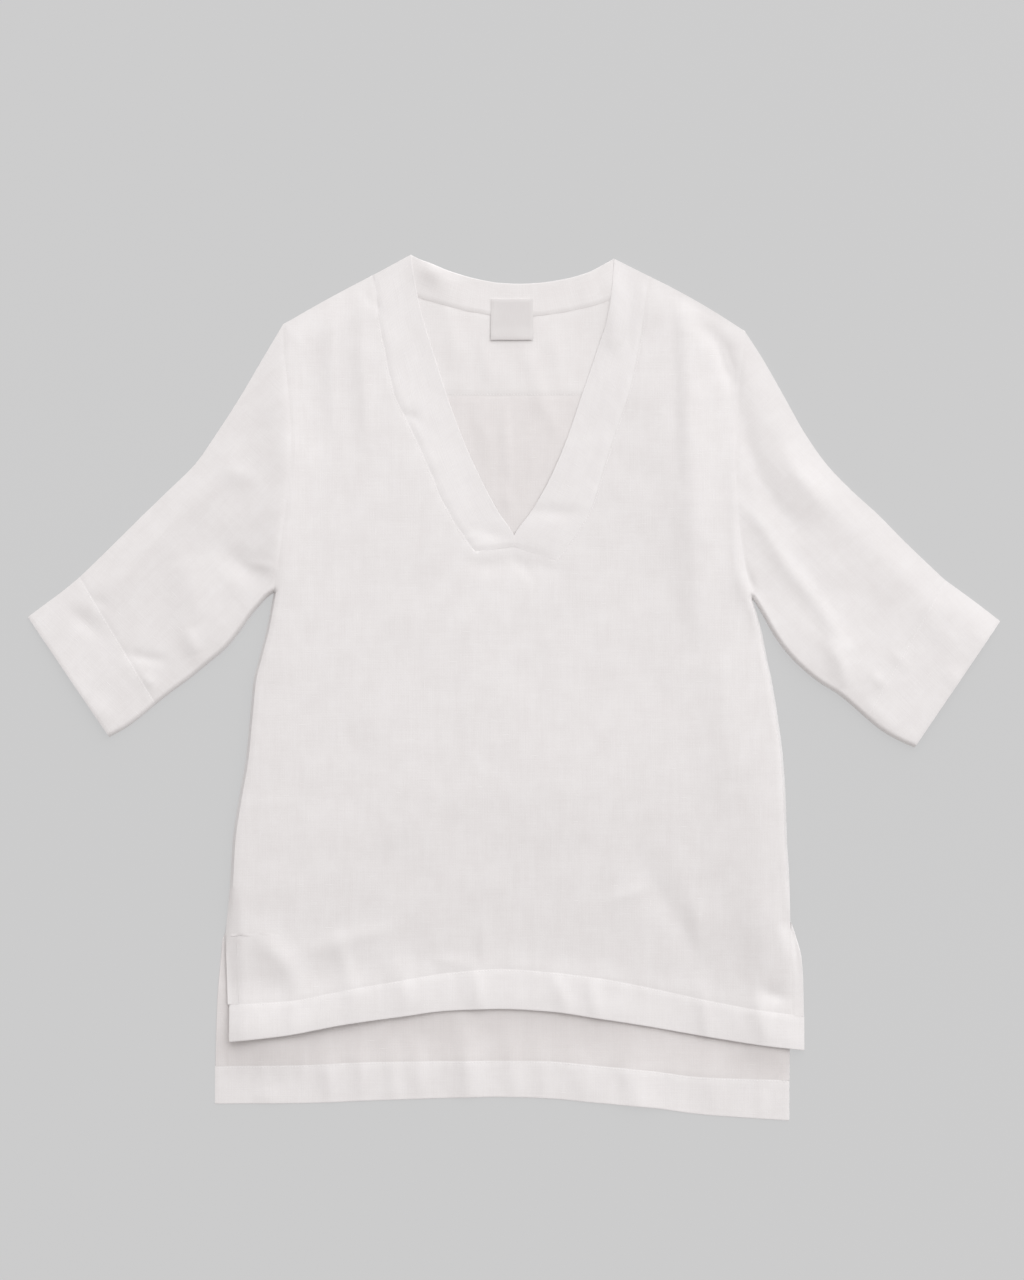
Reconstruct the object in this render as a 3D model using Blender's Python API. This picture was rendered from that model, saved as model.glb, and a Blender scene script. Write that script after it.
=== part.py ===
"""Linen tunic top with a V neck, laid flat with its front up.

The frame has +Y towards the neck, +Z up out of the front, and the surface that the tunic lies on at
z = 0. Left and right are as seen from above. The tables are in millimetres: x is measured from the
centre front line, and down is measured from the high point of the shoulder towards the hem.
"""
import math
from collections import namedtuple

import bmesh
import bpy

# Driving sizes, in millimetres
MM = 0.001
HIGH_POINT_Y = 411.0      # how far the shoulder's high point lies from the origin
CLOTH = 1.2               # wall of one layer
DOUBLED = 1.8             # wall where the cloth is turned or cut double
SEAM_GAP = 0.35           # space between two pieces at a seam, seen from above
LAYER_GAP = 0.3           # space between two layers that lie on each other
AIR = 3.0                 # how far the front lies above the back away from its edges
EDGE_ROUND = 15.0         # how far in from an edge the front is still rising
SLIT_DOWN = 644.0         # top of the side slits
SLIT_HEM = 10.5           # width of the turned edge of a slit
LIFT_REACH = 95.0         # how far up the front the lifted hem can be felt
SLOPE_STEP = 1.0          # distance over which a slope is measured
JOG = 2.0                 # height over which a panel's edge steps in beside a slit
BACK_LIFT_REACH = 42.0    # how far up the back its lifted hem can be felt
BOW_LEFT = 1.0            # how far the left shoulder swells past a straight line
BOW_RIGHT = 2.4           # and the right one
BOW_ROWS = 1.5            # rows of the front over which that fades out
BACK_TOP = CLOTH + LAYER_GAP

# Grid sizes
SIDE_COLUMNS = 15
CENTRE_COLUMNS = 4
BACK_COLUMNS = 18
BACK_ROWS = 26
BACK_SLIT_ROWS = 4
SHOULDER_COLUMNS = 6
YOKE_ROWS = 5
BAND_COLUMNS = 4
HEM_COLUMNS = 30
SLIT_ROWS = 6
LABEL_CELLS = 4
RING_SHARES = 12
ROW_SPACING = 15.0
SHARP_ANGLE = math.radians(40)

Front = namedtuple("Front", "left_x left_down right_x right_down neck_share hem_share")
Neck = namedtuple("Neck", "left_x left_down right_x right_down")
Inner = namedtuple("Inner", "row x down")
Band = namedtuple("Band", "inner_x inner_down outer_x outer_down")
Ring = namedtuple("Ring", "upper_x upper_down lower_x lower_down armhole_share")
Hem = namedtuple("Hem", "x top bottom")
Fold = namedtuple("Fold", "x0 down0 x1 down1 half_width height")
Lift = namedtuple("Lift", "x height")

# Outer edges of the front: the armhole down to the underarm, then the side seam down to the slit.
# neck_share says how much a row follows the bottom of the neck, hem_share how much the hem line.
FRONT = (
    Front(-219.5, 66.5, 219.5, 73.0, 0.0, 0.0),
    Front(-218.5, 92.0, 216.6, 100.0, 0.0, 0.0),
    Front(-214.7, 123.5, 213.8, 128.0, 0.0, 0.0),
    Front(-212.0, 155.0, 212.3, 157.0, 0.0, 0.0),
    Front(-211.0, 183.5, 211.4, 185.0, 0.0, 0.0),
    Front(-212.8, 212.0, 211.0, 214.0, 0.0, 0.0),
    Front(-216.3, 240.5, 212.6, 242.0, 0.0, 0.0),
    Front(-219.8, 269.0, 215.7, 271.0, 0.0, 0.0),
    Front(-224.2, 299.5, 220.4, 299.5, 1.0, 0.0),
    Front(-228.0, 321.0, 226.1, 326.0, 0.6, 0.0),
    Front(-234.7, 356.0, 234.7, 356.0, 0.25, 0.0),
    Front(-242.3, 385.0, 240.4, 385.0, 0.0, 0.0),
    Front(-247.0, 404.0, 244.5, 404.0, 0.0, 0.05),
    Front(-250.8, 442.0, 250.8, 442.0, 0.0, 0.12),
    Front(-254.6, 480.0, 255.6, 480.0, 0.0, 0.2),
    Front(-261.3, 518.0, 258.0, 518.0, 0.0, 0.32),
    Front(-267.0, 556.0, 259.2, 556.0, 0.0, 0.46),
    Front(-269.3, 594.0, 261.3, 594.0, 0.0, 0.62),
    Front(-272.7, 632.0, 262.2, 632.0, 0.0, 0.78),
    Front(-274.0, 642.5, 263.0, 642.5, 0.0, 0.82),
    Front(-263.7, 645.5, 263.0, 645.5, 0.0, 0.84),
    Front(-262.4, 680.0, 263.0, 683.0, 0.0, 0.93),
    Front(-261.0, 710.0, 263.0, 720.0, 0.0, 1.0),
)

# The neck's cut edge in the front, where the neckband is sewn on, for the first rows above
NECK = (
    Neck(-133.0, 19.0, 127.3, 20.0),
    Neck(-128.3, 59.0, 122.6, 62.0),
    Neck(-121.6, 95.0, 115.9, 100.0),
    Neck(-114.0, 130.0, 107.8, 134.0),
    Neck(-98.5, 163.0, 95.5, 170.0),
    Neck(-82.0, 199.5, 85.0, 202.5),
    Neck(-66.5, 235.5, 74.1, 237.5),
    Neck(-50.4, 263.0, 58.0, 266.0),
    Neck(-37.1, 282.0, 39.9, 290.0),
)
NECK_BOTTOM = len(NECK) - 1
NECK_POINT_DOWN = 277.5

# The folded inner edge of the neckband, from the shoulder down to its squared end under the V.
# row counts along the rows of the neck's cut edge.
FOLD_LEFT = (
    Inner(0, -97.9, 0.0),
    Inner(1, -94.0, 26.5),
    Inner(2, -87.4, 58.0),
    Inner(3, -77.0, 92.0),
    Inner(4, -61.8, 139.5),
    Inner(5, -47.5, 177.5),
    Inner(6, -30.4, 215.5),
    Inner(7, -15.2, 244.0),
    Inner(7.5, -1.0, 268.0),
    Inner(8, -0.2, 277.2),
)
FOLD_RIGHT = (
    Inner(0, 95.0, 3.8),
    Inner(1, 93.1, 28.5),
    Inner(2, 88.4, 60.0),
    Inner(3, 78.9, 90.5),
    Inner(4, 63.7, 135.0),
    Inner(5, 50.4, 174.0),
    Inner(6, 33.3, 214.0),
    Inner(7, 16.2, 244.0),
    Inner(7.5, 1.0, 268.0),
    Inner(8, 0.2, 277.2),
)

# The neckband round the back of the neck, from fold to seam
BAND_BACK = (
    Band(-97.9, 0.0, -133.0, 19.0),
    Band(-90.3, 4.0, -112.0, 32.0),
    Band(-79.8, 8.0, -91.2, 40.5),
    Band(-62.7, 15.0, -70.3, 47.0),
    Band(-36.1, 22.8, -39.9, 54.5),
    Band(-13.3, 26.8, -13.3, 58.3),
    Band(5.7, 27.6, 5.7, 59.0),
    Band(24.7, 26.6, 29.5, 57.3),
    Band(49.4, 22.8, 58.0, 52.5),
    Band(71.0, 16.5, 82.0, 46.5),
    Band(84.5, 9.5, 105.0, 36.0),
    Band(95.0, 3.8, 127.3, 20.0),
)
YOKE_SEAM_DOWN = 134.0

# Rings of the sleeves, from the armhole to the seam of the cuff, and of the cuffs. armhole_share
# says how much a ring still has of the armhole's curve.
SLEEVE_LEFT = (
    Ring(-219.5, 66.5, -228.0, 321.0, 1.0),
    Ring(-239.4, 100.0, -233.7, 325.0, 0.7),
    Ring(-260.3, 134.0, -241.3, 331.0, 0.4),
    Ring(-282.2, 168.0, -250.8, 341.0, 0.2),
    Ring(-303.0, 197.0, -260.3, 353.5, 0.0),
    Ring(-326.8, 220.5, -273.6, 368.5, 0.0),
    Ring(-350.6, 244.0, -290.7, 382.0, 0.0),
    Ring(-374.3, 268.0, -307.8, 396.0, 0.0),
    Ring(-395.2, 289.0, -324.9, 408.5, 0.0),
    Ring(-412.3, 306.0, -340.1, 420.0, 0.0),
)
CUFF_LEFT = (
    Ring(-412.6, 306.3, -340.4, 420.3, 0.0),
    Ring(-429.4, 320.0, -355.3, 433.0, 0.0),
    Ring(-445.6, 332.0, -369.6, 444.5, 0.0),
    Ring(-461.7, 344.0, -383.8, 454.0, 0.0),
)
SLEEVE_RIGHT = (
    Ring(219.5, 73.0, 226.1, 326.0, 1.0),
    Ring(235.6, 98.0, 230.9, 333.5, 0.7),
    Ring(255.6, 133.0, 238.5, 347.0, 0.4),
    Ring(275.5, 168.0, 247.0, 360.0, 0.2),
    Ring(296.4, 197.5, 259.4, 376.0, 0.0),
    Ring(320.2, 222.5, 275.5, 391.5, 0.0),
    Ring(344.9, 245.0, 290.7, 403.0, 0.0),
    Ring(369.6, 270.0, 305.9, 411.5, 0.0),
    Ring(391.4, 291.5, 320.2, 421.0, 0.0),
    Ring(409.5, 309.0, 334.4, 433.0, 0.0),
)
CUFF_RIGHT = (
    Ring(409.8, 309.3, 334.7, 433.3, 0.0),
    Ring(427.5, 322.0, 349.6, 446.5, 0.0),
    Ring(445.6, 335.5, 364.8, 458.0, 0.0),
    Ring(461.7, 348.0, 380.0, 466.5, 0.0),
)

# The deep hems, turned to the inside: the stitched line and the folded edge
FRONT_HEM = (
    Hem(-270.0, 711.5, 747.0),
    Hem(-213.0, 708.0, 740.5),
    Hem(-165.0, 699.0, 731.5),
    Hem(-108.0, 689.0, 723.5),
    Hem(-61.0, 681.5, 717.5),
    Hem(-13.0, 678.0, 716.0),
    Hem(34.0, 681.0, 718.5),
    Hem(82.0, 687.0, 725.5),
    Hem(129.0, 696.0, 733.0),
    Hem(177.0, 706.5, 740.0),
    Hem(224.0, 715.5, 746.5),
    Hem(275.5, 723.0, 754.0),
)
BACK_HEM = (
    Hem(-284.0, 770.5, 806.5),
    Hem(-203.0, 769.5, 806.0),
    Hem(-137.0, 766.7, 803.5),
    Hem(-61.0, 765.7, 801.0),
    Hem(-13.0, 765.5, 800.0),
    Hem(25.0, 765.7, 801.0),
    Hem(82.0, 770.5, 806.0),
    Hem(129.0, 775.0, 810.0),
    Hem(177.0, 781.0, 816.5),
    Hem(261.5, 784.0, 822.5),
)

# Edges of the back beside its slits: x of the left and of the right edge, by down
BACK_SLIT_DOWN = (651.0, 711.0, 771.0, 785.0)
BACK_SLIT_LEFT_X = (-277.0, -282.0, -283.6, -283.8)
BACK_SLIT_RIGHT_X = (262.4, 262.2, 261.8, 261.7)

# Edges of the front beside its slits, by down; the right one opens in a point
FRONT_SLIT_LEFT_DOWN = (646.5, 669.0, 690.0, 722.0)
FRONT_SLIT_LEFT_X = (-274.4, -273.3, -272.6, -271.2)
FRONT_SLIT_RIGHT_DOWN = (634.0, 648.0, 669.0, 690.0, 722.0)
FRONT_SLIT_RIGHT_X = (264.4, 268.0, 273.2, 274.6, 275.2)
SLIT_END_GAP = 0.7        # how far the slits' hems stop above the deep hems
SLIT_END_GAP_RIGHT = 2.5  # the same at the front's right slit, where the deep hem slopes

# The largest folds of the upper layer, as soft ridges and troughs along straight stretches
FOLDS = (
    Fold(-182.0, 48.0, -180.0, 190.0, 11.0, -1.2),
    Fold(-152.0, 40.0, -148.0, 175.0, 11.0, -1.2),
    Fold(-200.0, 60.0, -198.0, 190.0, 10.0, 1.0),
    Fold(-166.0, 40.0, -162.0, 190.0, 9.0, 1.0),
    Fold(153.0, 42.0, 150.0, 214.0, 13.0, -1.6),
    Fold(182.0, 86.0, 192.0, 290.0, 24.0, 1.8),
    Fold(193.0, 64.0, 211.0, 86.0, 13.0, -1.6),
    Fold(212.0, 92.0, 224.0, 150.0, 12.0, -1.6),
    Fold(224.0, 150.0, 258.0, 223.0, 12.0, -1.8),
    Fold(258.0, 223.0, 284.0, 258.0, 12.0, -1.2),
    Fold(222.0, 238.0, 240.0, 268.0, 12.0, -1.6),
    Fold(240.0, 268.0, 272.0, 328.0, 12.0, -1.8),
    Fold(221.0, 232.0, 272.0, 300.0, 14.0, 1.8),
    Fold(272.0, 300.0, 302.0, 340.0, 14.0, 1.4),
    Fold(148.0, 276.0, 164.0, 348.0, 15.0, -1.2),
    Fold(-256.0, 290.0, -224.0, 268.0, 13.0, -2.2),
    Fold(-270.0, 310.0, -245.0, 322.0, 14.0, 2.2),
    Fold(-232.0, 88.0, -230.0, 140.0, 10.0, -1.0),
    Fold(-205.0, 604.0, -70.0, 518.0, 34.0, 1.6),
    Fold(-70.0, 518.0, 10.0, 508.0, 34.0, 1.4),
    Fold(177.0, 368.0, 184.0, 500.0, 22.0, -1.2),
    Fold(120.0, 575.0, 177.0, 670.0, 16.0, -1.0),
    Fold(-236.0, 632.0, -194.0, 670.0, 13.0, 2.0),
    Fold(-194.0, 670.0, -184.0, 708.0, 13.0, 1.8),
)

# How far the front's hem stands off the back, most at its left corner
FRONT_LIFT = (
    Lift(-272.0, 2.6), Lift(-235.0, 4.6), Lift(-190.0, 3.6), Lift(-130.0, 1.8), Lift(-60.0, 1.2),
    Lift(20.0, 1.4), Lift(80.0, 2.0), Lift(150.0, 1.4), Lift(222.0, 2.4), Lift(276.0, 0.2),
)
BACK_LIFT = (
    Lift(-284.0, 0.0), Lift(-240.0, 0.4), Lift(-203.0, 2.0), Lift(-160.0, 0.3), Lift(-90.0, 0.2),
    Lift(-66.0, 2.2), Lift(-50.0, 0.4), Lift(-20.0, 1.8), Lift(30.0, 0.2), Lift(262.0, 0.0),
)

LABEL_LEFT, LABEL_RIGHT = -22.0, 18.0
LABEL_TOP, LABEL_BOTTOM = 42.0, 81.0
LABEL_WALL = 1.0
RIM_SHARE = 1.2           # how far in the hollow of a sleeve starts, in walls

SLEEVES = {-1: SLEEVE_LEFT, 1: SLEEVE_RIGHT}


def smooth_curve(keys, values):
    """A curve through the values that never swings past them."""
    steps = [(values[i + 1] - values[i]) / (keys[i + 1] - keys[i]) for i in range(len(keys) - 1)]
    slopes = [steps[0]]
    for before, after in zip(steps, steps[1:]):
        turns = before * after <= 0
        slopes.append(0.0 if turns else 2 * before * after / (before + after))
    slopes.append(steps[-1])

    def at(key):
        key = min(max(key, keys[0]), keys[-1])
        i = max(j for j in range(len(steps)) if keys[j] <= key)
        width = keys[i + 1] - keys[i]
        t = (key - keys[i]) / width
        return (
            values[i] * (1 + 2 * t) * (1 - t) ** 2
            + slopes[i] * width * t * (1 - t) ** 2
            + values[i + 1] * t * t * (3 - 2 * t)
            - slopes[i + 1] * width * t * t * (1 - t)
        )

    return at


def by_name(rows, key, value):
    """The curve of one named column of a table over another."""
    return smooth_curve([getattr(row, key) for row in rows], [getattr(row, value) for row in rows])


def mix(a, b, share):
    return a + (b - a) * share


def crowded(count, one_sided=False):
    """Shares from 0 to 1 that crowd at both ends, or at the first end alone."""
    if one_sided:
        return [(i / count) ** 1.5 for i in range(count + 1)]
    return [(1 - math.cos(math.pi * i / count)) / 2 for i in range(count + 1)]


def even(count):
    return [i / count for i in range(count + 1)]


def ease(share):
    """From 0 to 1 with soft ends."""
    share = min(max(share, 0.0), 1.0)
    return share * share * (3 - 2 * share)


armhole_left = by_name(FRONT, "left_down", "left_x")
armhole_right = by_name(FRONT, "right_down", "right_x")
front_hem_top = by_name(FRONT_HEM, "x", "top")
front_hem_bottom = by_name(FRONT_HEM, "x", "bottom")
back_hem_top = by_name(BACK_HEM, "x", "top")
back_hem_bottom = by_name(BACK_HEM, "x", "bottom")
front_lift = by_name(FRONT_LIFT, "x", "height")
back_lift = by_name(BACK_LIFT, "x", "height")
front_slit_left = smooth_curve(FRONT_SLIT_LEFT_DOWN, FRONT_SLIT_LEFT_X)
front_slit_right = smooth_curve(FRONT_SLIT_RIGHT_DOWN, FRONT_SLIT_RIGHT_X)
back_slit_left = smooth_curve(BACK_SLIT_DOWN, BACK_SLIT_LEFT_X)
back_slit_right = smooth_curve(BACK_SLIT_DOWN, BACK_SLIT_RIGHT_X)


def shoulder_point(start, end, share, bow):
    """A point of a shoulder, which swells upwards from the straight line between its ends."""
    return mix(start[0], end[0], share), mix(start[1], end[1], share) - 4 * bow * share * (1 - share)


def closed_edges():
    """The stretches where the front turns into the back: shoulders, sleeves and side seams."""
    sides = (
        (FOLD_LEFT, SLEEVE_LEFT, CUFF_LEFT, BOW_LEFT, "left_x", "left_down"),
        (FOLD_RIGHT, SLEEVE_RIGHT, CUFF_RIGHT, BOW_RIGHT, "right_x", "right_down"),
    )
    stretches = []
    for fold, sleeve, cuff, bow, x, down in sides:
        rings = sleeve + cuff
        neck = (getattr(NECK[0], x), getattr(NECK[0], down))
        tip = (rings[0].upper_x, rings[0].upper_down)
        shoulder = [(fold[0].x, fold[0].down)]
        shoulder += [shoulder_point(neck, tip, share, bow) for share in even(SHOULDER_COLUMNS)]
        stretches.append(shoulder + [(ring.upper_x, ring.upper_down) for ring in rings[1:]])
        seam = [(getattr(row, x), getattr(row, down)) for row in FRONT]
        seam = [p for p in seam if rings[0].lower_down < p[1] < SLIT_DOWN]
        stretches.append([(ring.lower_x, ring.lower_down) for ring in reversed(rings)] + seam)
    return [pair for points in stretches for pair in zip(points, points[1:])]


EDGES = closed_edges()


def distance_to(x, down, start, end):
    """Distance to a straight stretch, and the share of the stretch at its nearest point."""
    run_x, run_down = end[0] - start[0], end[1] - start[1]
    share = ((x - start[0]) * run_x + (down - start[1]) * run_down) / (run_x ** 2 + run_down ** 2)
    share = min(max(share, 0.0), 1.0)
    return math.hypot(x - start[0] - share * run_x, down - start[1] - share * run_down), share


def folds_height(x, down):
    height = 0.0
    for fold in FOLDS:
        far, _ = distance_to(x, down, (fold.x0, fold.down0), (fold.x1, fold.down1))
        height += fold.height * math.exp(-(far / fold.half_width) ** 2)
    return height


def relief(x, down):
    """How far the upper layer lies above its lowest lie: air, folds and the lifted hem."""
    nearest = min(distance_to(x, down, start, end)[0] for start, end in EDGES)
    rise = math.sin(math.pi / 2 * min(nearest / EDGE_ROUND, 1.0))
    lift = front_lift(x) * ease(1 - (front_hem_bottom(x) - down) / LIFT_REACH)
    return rise * (AIR + folds_height(x, down)) + lift


def upper_layer(x, down):
    return BACK_TOP + relief(x, down)


def lower_layer(x, down):
    return back_lift(x) * ease(1 - (back_hem_bottom(x) - down) / BACK_LIFT_REACH)


def on_back(x, down):
    return BACK_TOP


def upright_wall(underside, x, down, wall):
    """The wall measured straight up, so that it keeps its thickness on a slope."""
    across = underside(x + SLOPE_STEP, down) - underside(x - SLOPE_STEP, down)
    along = underside(x, down + SLOPE_STEP) - underside(x, down - SLOPE_STEP)
    return wall * math.sqrt(1 + (across ** 2 + along ** 2) / (2 * SLOPE_STEP) ** 2)


def place(x, down, z):
    """A point of the tables in the part's frame, in metres."""
    return (x * MM, (HIGH_POINT_Y - down) * MM, z * MM)


def linen(name, colour, roughness):
    material = bpy.data.materials.new(name)
    material.use_nodes = True
    shader = material.node_tree.nodes["Principled BSDF"]
    shader.inputs["Base Color"].default_value = (*colour, 1.0)
    shader.inputs["Roughness"].default_value = roughness
    shader.inputs["Metallic"].default_value = 0.0
    return material


def add_object(name, bm, material):
    bmesh.ops.recalc_face_normals(bm, faces=bm.faces)
    mesh = bpy.data.meshes.new(name)
    bm.to_mesh(mesh)
    bm.free()
    mesh.shade_smooth()
    mesh.set_sharp_from_angle(angle=SHARP_ANGLE)
    mesh.materials.append(material)
    thing = bpy.data.objects.new(name, mesh)
    bpy.context.scene.collection.objects.link(thing)
    return thing


def sheet(name, grid, underside, wall, material):
    """A layer of cloth over a grid of table points, where a place without a point is None."""
    bm = bmesh.new()
    points, walls = [], {}
    for row in grid:
        line = []
        for spot in row:
            vert = None
            if spot:
                vert = bm.verts.new(place(*spot, underside(*spot)))
                walls[vert] = upright_wall(underside, *spot, wall) * MM
            line.append(vert)
        points.append(line)
    for upper, lower in zip(points, points[1:]):
        for i in range(len(upper) - 1):
            corners = (upper[i], lower[i], lower[i + 1], upper[i + 1])
            if all(corners):
                bm.faces.new(corners)
    heights = [(vert.co.copy(), walls[vert]) for vert in walls]
    made = bmesh.ops.extrude_face_region(bm, geom=bm.faces[:])
    raised = [item for item in made["geom"] if isinstance(item, bmesh.types.BMVert)]
    lookup = {tuple(co): height for co, height in heights}
    for vert in raised:
        vert.co.z += lookup[tuple(vert.co)]
    return add_object(name, bm, material)


def ring_path(ring, armhole, sign):
    """Shares of a ring to its place, from the upper to the lower edge of the sleeve."""
    def at(share):
        x = mix(ring.upper_x, ring.lower_x, share)
        down = mix(ring.upper_down, ring.lower_down, share)
        first, last = SLEEVES[sign][0].upper_down, SLEEVES[sign][0].lower_down
        straight = mix(armhole(first), armhole(last), share)
        bow = armhole(mix(first, last, share)) - straight
        return x + ring.armhole_share * (bow + sign * SEAM_GAP), down
    return at


def tube(name, rings, sign, wall, material):
    """A flattened tube of cloth: its underside lies flat, its upper side follows the relief."""
    bm = bmesh.new()
    shares = crowded(RING_SHARES)
    loops = []
    for ring in rings:
        at = ring_path(ring, armhole_left if sign < 0 else armhole_right, sign)
        reach = math.hypot(ring.upper_x - ring.lower_x, ring.upper_down - ring.lower_down)
        tip = RIM_SHARE * wall / reach
        middle = wall + LAYER_GAP / 2
        outer = [bm.verts.new(place(*at(0.0), middle))]
        inner = [bm.verts.new(place(*at(tip), middle))]
        for share in shares[1:-1]:
            spot = at(share)
            ceiling = wall + LAYER_GAP + relief(*spot)
            thick = upright_wall(relief, *spot, wall)
            outer.append(bm.verts.new(place(*spot, ceiling + thick)))
            inner.append(bm.verts.new(place(*spot, ceiling)))
        outer.append(bm.verts.new(place(*at(1.0), middle)))
        inner.append(bm.verts.new(place(*at(1 - tip), middle)))
        for share in reversed(shares[1:-1]):
            outer.append(bm.verts.new(place(*at(share), 0.0)))
            inner.append(bm.verts.new(place(*at(share), wall)))
        loops.append((outer, inner))
    count = len(loops[0][0])

    def bridge(one, other):
        for i in range(count):
            j = (i + 1) % count
            bm.faces.new((one[i], one[j], other[j], other[i]))

    for (outer, inner), (next_outer, next_inner) in zip(loops, loops[1:]):
        bridge(outer, next_outer)
        bridge(inner, next_inner)
    for outer, inner in (loops[0], loops[-1]):
        bridge(outer, inner)
    return add_object(name, bm, material)


def finer(rings, steps):
    """More rings between those of a table, on smooth curves through them."""
    stations = list(range(len(rings)))
    curves = [smooth_curve(stations, column) for column in zip(*rings)]
    count = (len(rings) - 1) * steps
    return [Ring(*(curve(i / steps) for curve in curves)) for i in range(count + 1)]


def row_stations(rows, first_row, last_row):
    """Places along the rows of a table, about one row spacing apart, with every row kept."""
    stations = []
    for i in range(first_row, last_row):
        length = rows[i + 1].left_down - rows[i].left_down
        steps = max(1, round(length / ROW_SPACING))
        stations += [i + step / steps for step in range(steps)]
    return stations + [last_row]


def front_grid():
    """Rows across the front, in a left, a centre and a right group of columns."""
    numbers = list(range(len(FRONT)))
    edge = {name: smooth_curve(numbers, [getattr(row, name) for row in FRONT]) for name in Front._fields}
    neck_numbers = list(range(len(NECK)))
    neck = {name: smooth_curve(neck_numbers, [getattr(row, name) for row in NECK]) for name in Neck._fields}
    bottom_left, bottom_right = FRONT[NECK_BOTTOM], NECK[NECK_BOTTOM]
    neck_line = (
        (bottom_left.left_x, bottom_left.left_down),
        (bottom_right.left_x - SEAM_GAP, bottom_right.left_down + SEAM_GAP),
        (0.0, NECK_POINT_DOWN + SEAM_GAP),
        (bottom_right.right_x + SEAM_GAP, bottom_right.right_down + SEAM_GAP),
        (bottom_left.right_x, bottom_left.right_down),
    )

    def neck_dip(x):
        """How far the bottom of the neck strays from a straight row."""
        straight = mix(neck_line[0][1], neck_line[-1][1],
                       (x - neck_line[0][0]) / (neck_line[-1][0] - neck_line[0][0]))
        for (x0, down0), (x1, down1) in zip(neck_line, neck_line[1:]):
            if x <= x1 + SEAM_GAP:
                break
        return mix(down0, down1, (x - x0) / (x1 - x0)) - straight

    last = FRONT[-1]

    def hem_dip(x):
        """How far the hem's stitched line strays from a straight row."""
        share = (x - last.left_x) / (last.right_x - last.left_x)
        return front_hem_top(x) - SEAM_GAP - mix(last.left_down, last.right_down, share)

    sides = crowded(SIDE_COLUMNS, one_sided=True)
    middle = even(CENTRE_COLUMNS)[1:-1]
    grid = []
    for station in row_stations(FRONT, 0, len(FRONT) - 1):
        left = (edge["left_x"](station), edge["left_down"](station))
        right = (edge["right_x"](station), edge["right_down"](station))
        if station < NECK_BOTTOM:
            inner_left = (neck["left_x"](station) - SEAM_GAP, neck["left_down"](station))
            inner_right = (neck["right_x"](station) + SEAM_GAP, neck["right_down"](station))
            fade = max(0.0, 1 - station / BOW_ROWS)
            row = [shoulder_point(left, inner_left, share, fade * BOW_LEFT) for share in sides]
            row += [None] * len(middle)
            row += [shoulder_point(right, inner_right, share, fade * BOW_RIGHT) for share in reversed(sides)]
        else:
            inner = (neck_line[1][0], neck_line[3][0])
            xs = [mix(left[0], inner[0], s) for s in sides]
            xs += [mix(inner[0], inner[1], s) for s in middle]
            xs += [mix(right[0], inner[1], s) for s in reversed(sides)]
            row = []
            for x in xs:
                down = mix(left[1], right[1], (x - left[0]) / (right[0] - left[0]))
                down += edge["neck_share"](station) * neck_dip(x)
                down += edge["hem_share"](station) * hem_dip(x)
                row.append((x, down))
        grid.append(row)
    return grid


def back_grid():
    """Rows across the back from the seam of the yoke to the stitched line of its hem."""
    stations = [mix(YOKE_SEAM_DOWN + SEAM_GAP, SLIT_DOWN - JOG, share) for share in even(BACK_ROWS)]
    slit_top = BACK_SLIT_DOWN[0] - SEAM_GAP
    slit = [slit_top - JOG]
    slit += [mix(slit_top, BACK_SLIT_DOWN[2], share) for share in even(BACK_SLIT_ROWS)]
    shares = crowded(BACK_COLUMNS)
    grid = []
    for down in stations + slit:
        left, right = armhole_left(down), armhole_right(down)
        if down >= slit_top:
            left = back_slit_left(down) + SLIT_HEM + SEAM_GAP
            right = back_slit_right(down) - SLIT_HEM - SEAM_GAP
        elif down > SLIT_DOWN:
            left, right = BACK_SLIT_LEFT_X[0], BACK_SLIT_RIGHT_X[0]
        row = []
        for share in shares:
            x = mix(left, right, share)
            reach = ease((down - stations[-1]) / (slit[-1] - stations[-1]))
            row.append((x, down + reach * (back_hem_top(x) - SEAM_GAP - slit[-1])))
        grid.append(row)
    return grid


def yoke_grid():
    """Rows from the shoulders and the neckband's seam down to the seam of the yoke."""
    seam = [(section[-1][0], section[-1][1] + SEAM_GAP) for section in back_band_grid()]
    left_point = (FRONT[0].left_x, FRONT[0].left_down)
    right_point = (FRONT[0].right_x, FRONT[0].right_down)
    shares = crowded(SHOULDER_COLUMNS)
    top = [shoulder_point(left_point, seam[0], share, BOW_LEFT) for share in shares[:-1]]
    top += seam
    top += [shoulder_point(seam[-1], right_point, share, BOW_RIGHT) for share in shares[1:]]
    grid = []
    for share in even(YOKE_ROWS):
        left = armhole_left(mix(left_point[1], YOKE_SEAM_DOWN, share))
        right = armhole_right(mix(right_point[1], YOKE_SEAM_DOWN, share))
        row = []
        for x, down in top:
            across = (x - left_point[0]) / (right_point[0] - left_point[0])
            row.append((mix(left, right, across), mix(down, YOKE_SEAM_DOWN, share)))
        grid.append(row)
    return grid


def back_band_grid():
    """Sections across the neckband round the back, from its fold to its seam."""
    stations = list(range(len(BAND_BACK)))
    curves = [smooth_curve(stations, column) for column in zip(*BAND_BACK)]
    grid = []
    for i in range((len(BAND_BACK) - 1) * 2 + 1):
        band = Band(*(curve(i / 2) for curve in curves))
        grid.append([
            (mix(band.inner_x, band.outer_x, share), mix(band.inner_down, band.outer_down, share))
            for share in even(2)
        ])
    return grid


def front_band_grid(fold, x_name, down_name):
    """Sections across a neckband of the front, at the places where the front has its rows."""
    numbers = list(range(len(NECK)))
    outer = [smooth_curve(numbers, [getattr(row, name) for row in NECK]) for name in (x_name, down_name)]
    inner = [by_name(fold, "row", name) for name in ("x", "down")]
    grid = []
    for station in row_stations(FRONT, 0, NECK_BOTTOM):
        ends = [(a(station), b(station)) for a, b in zip(inner, outer)]
        grid.append([tuple(mix(a, b, share) for a, b in ends) for share in even(BAND_COLUMNS)])
    return grid


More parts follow.
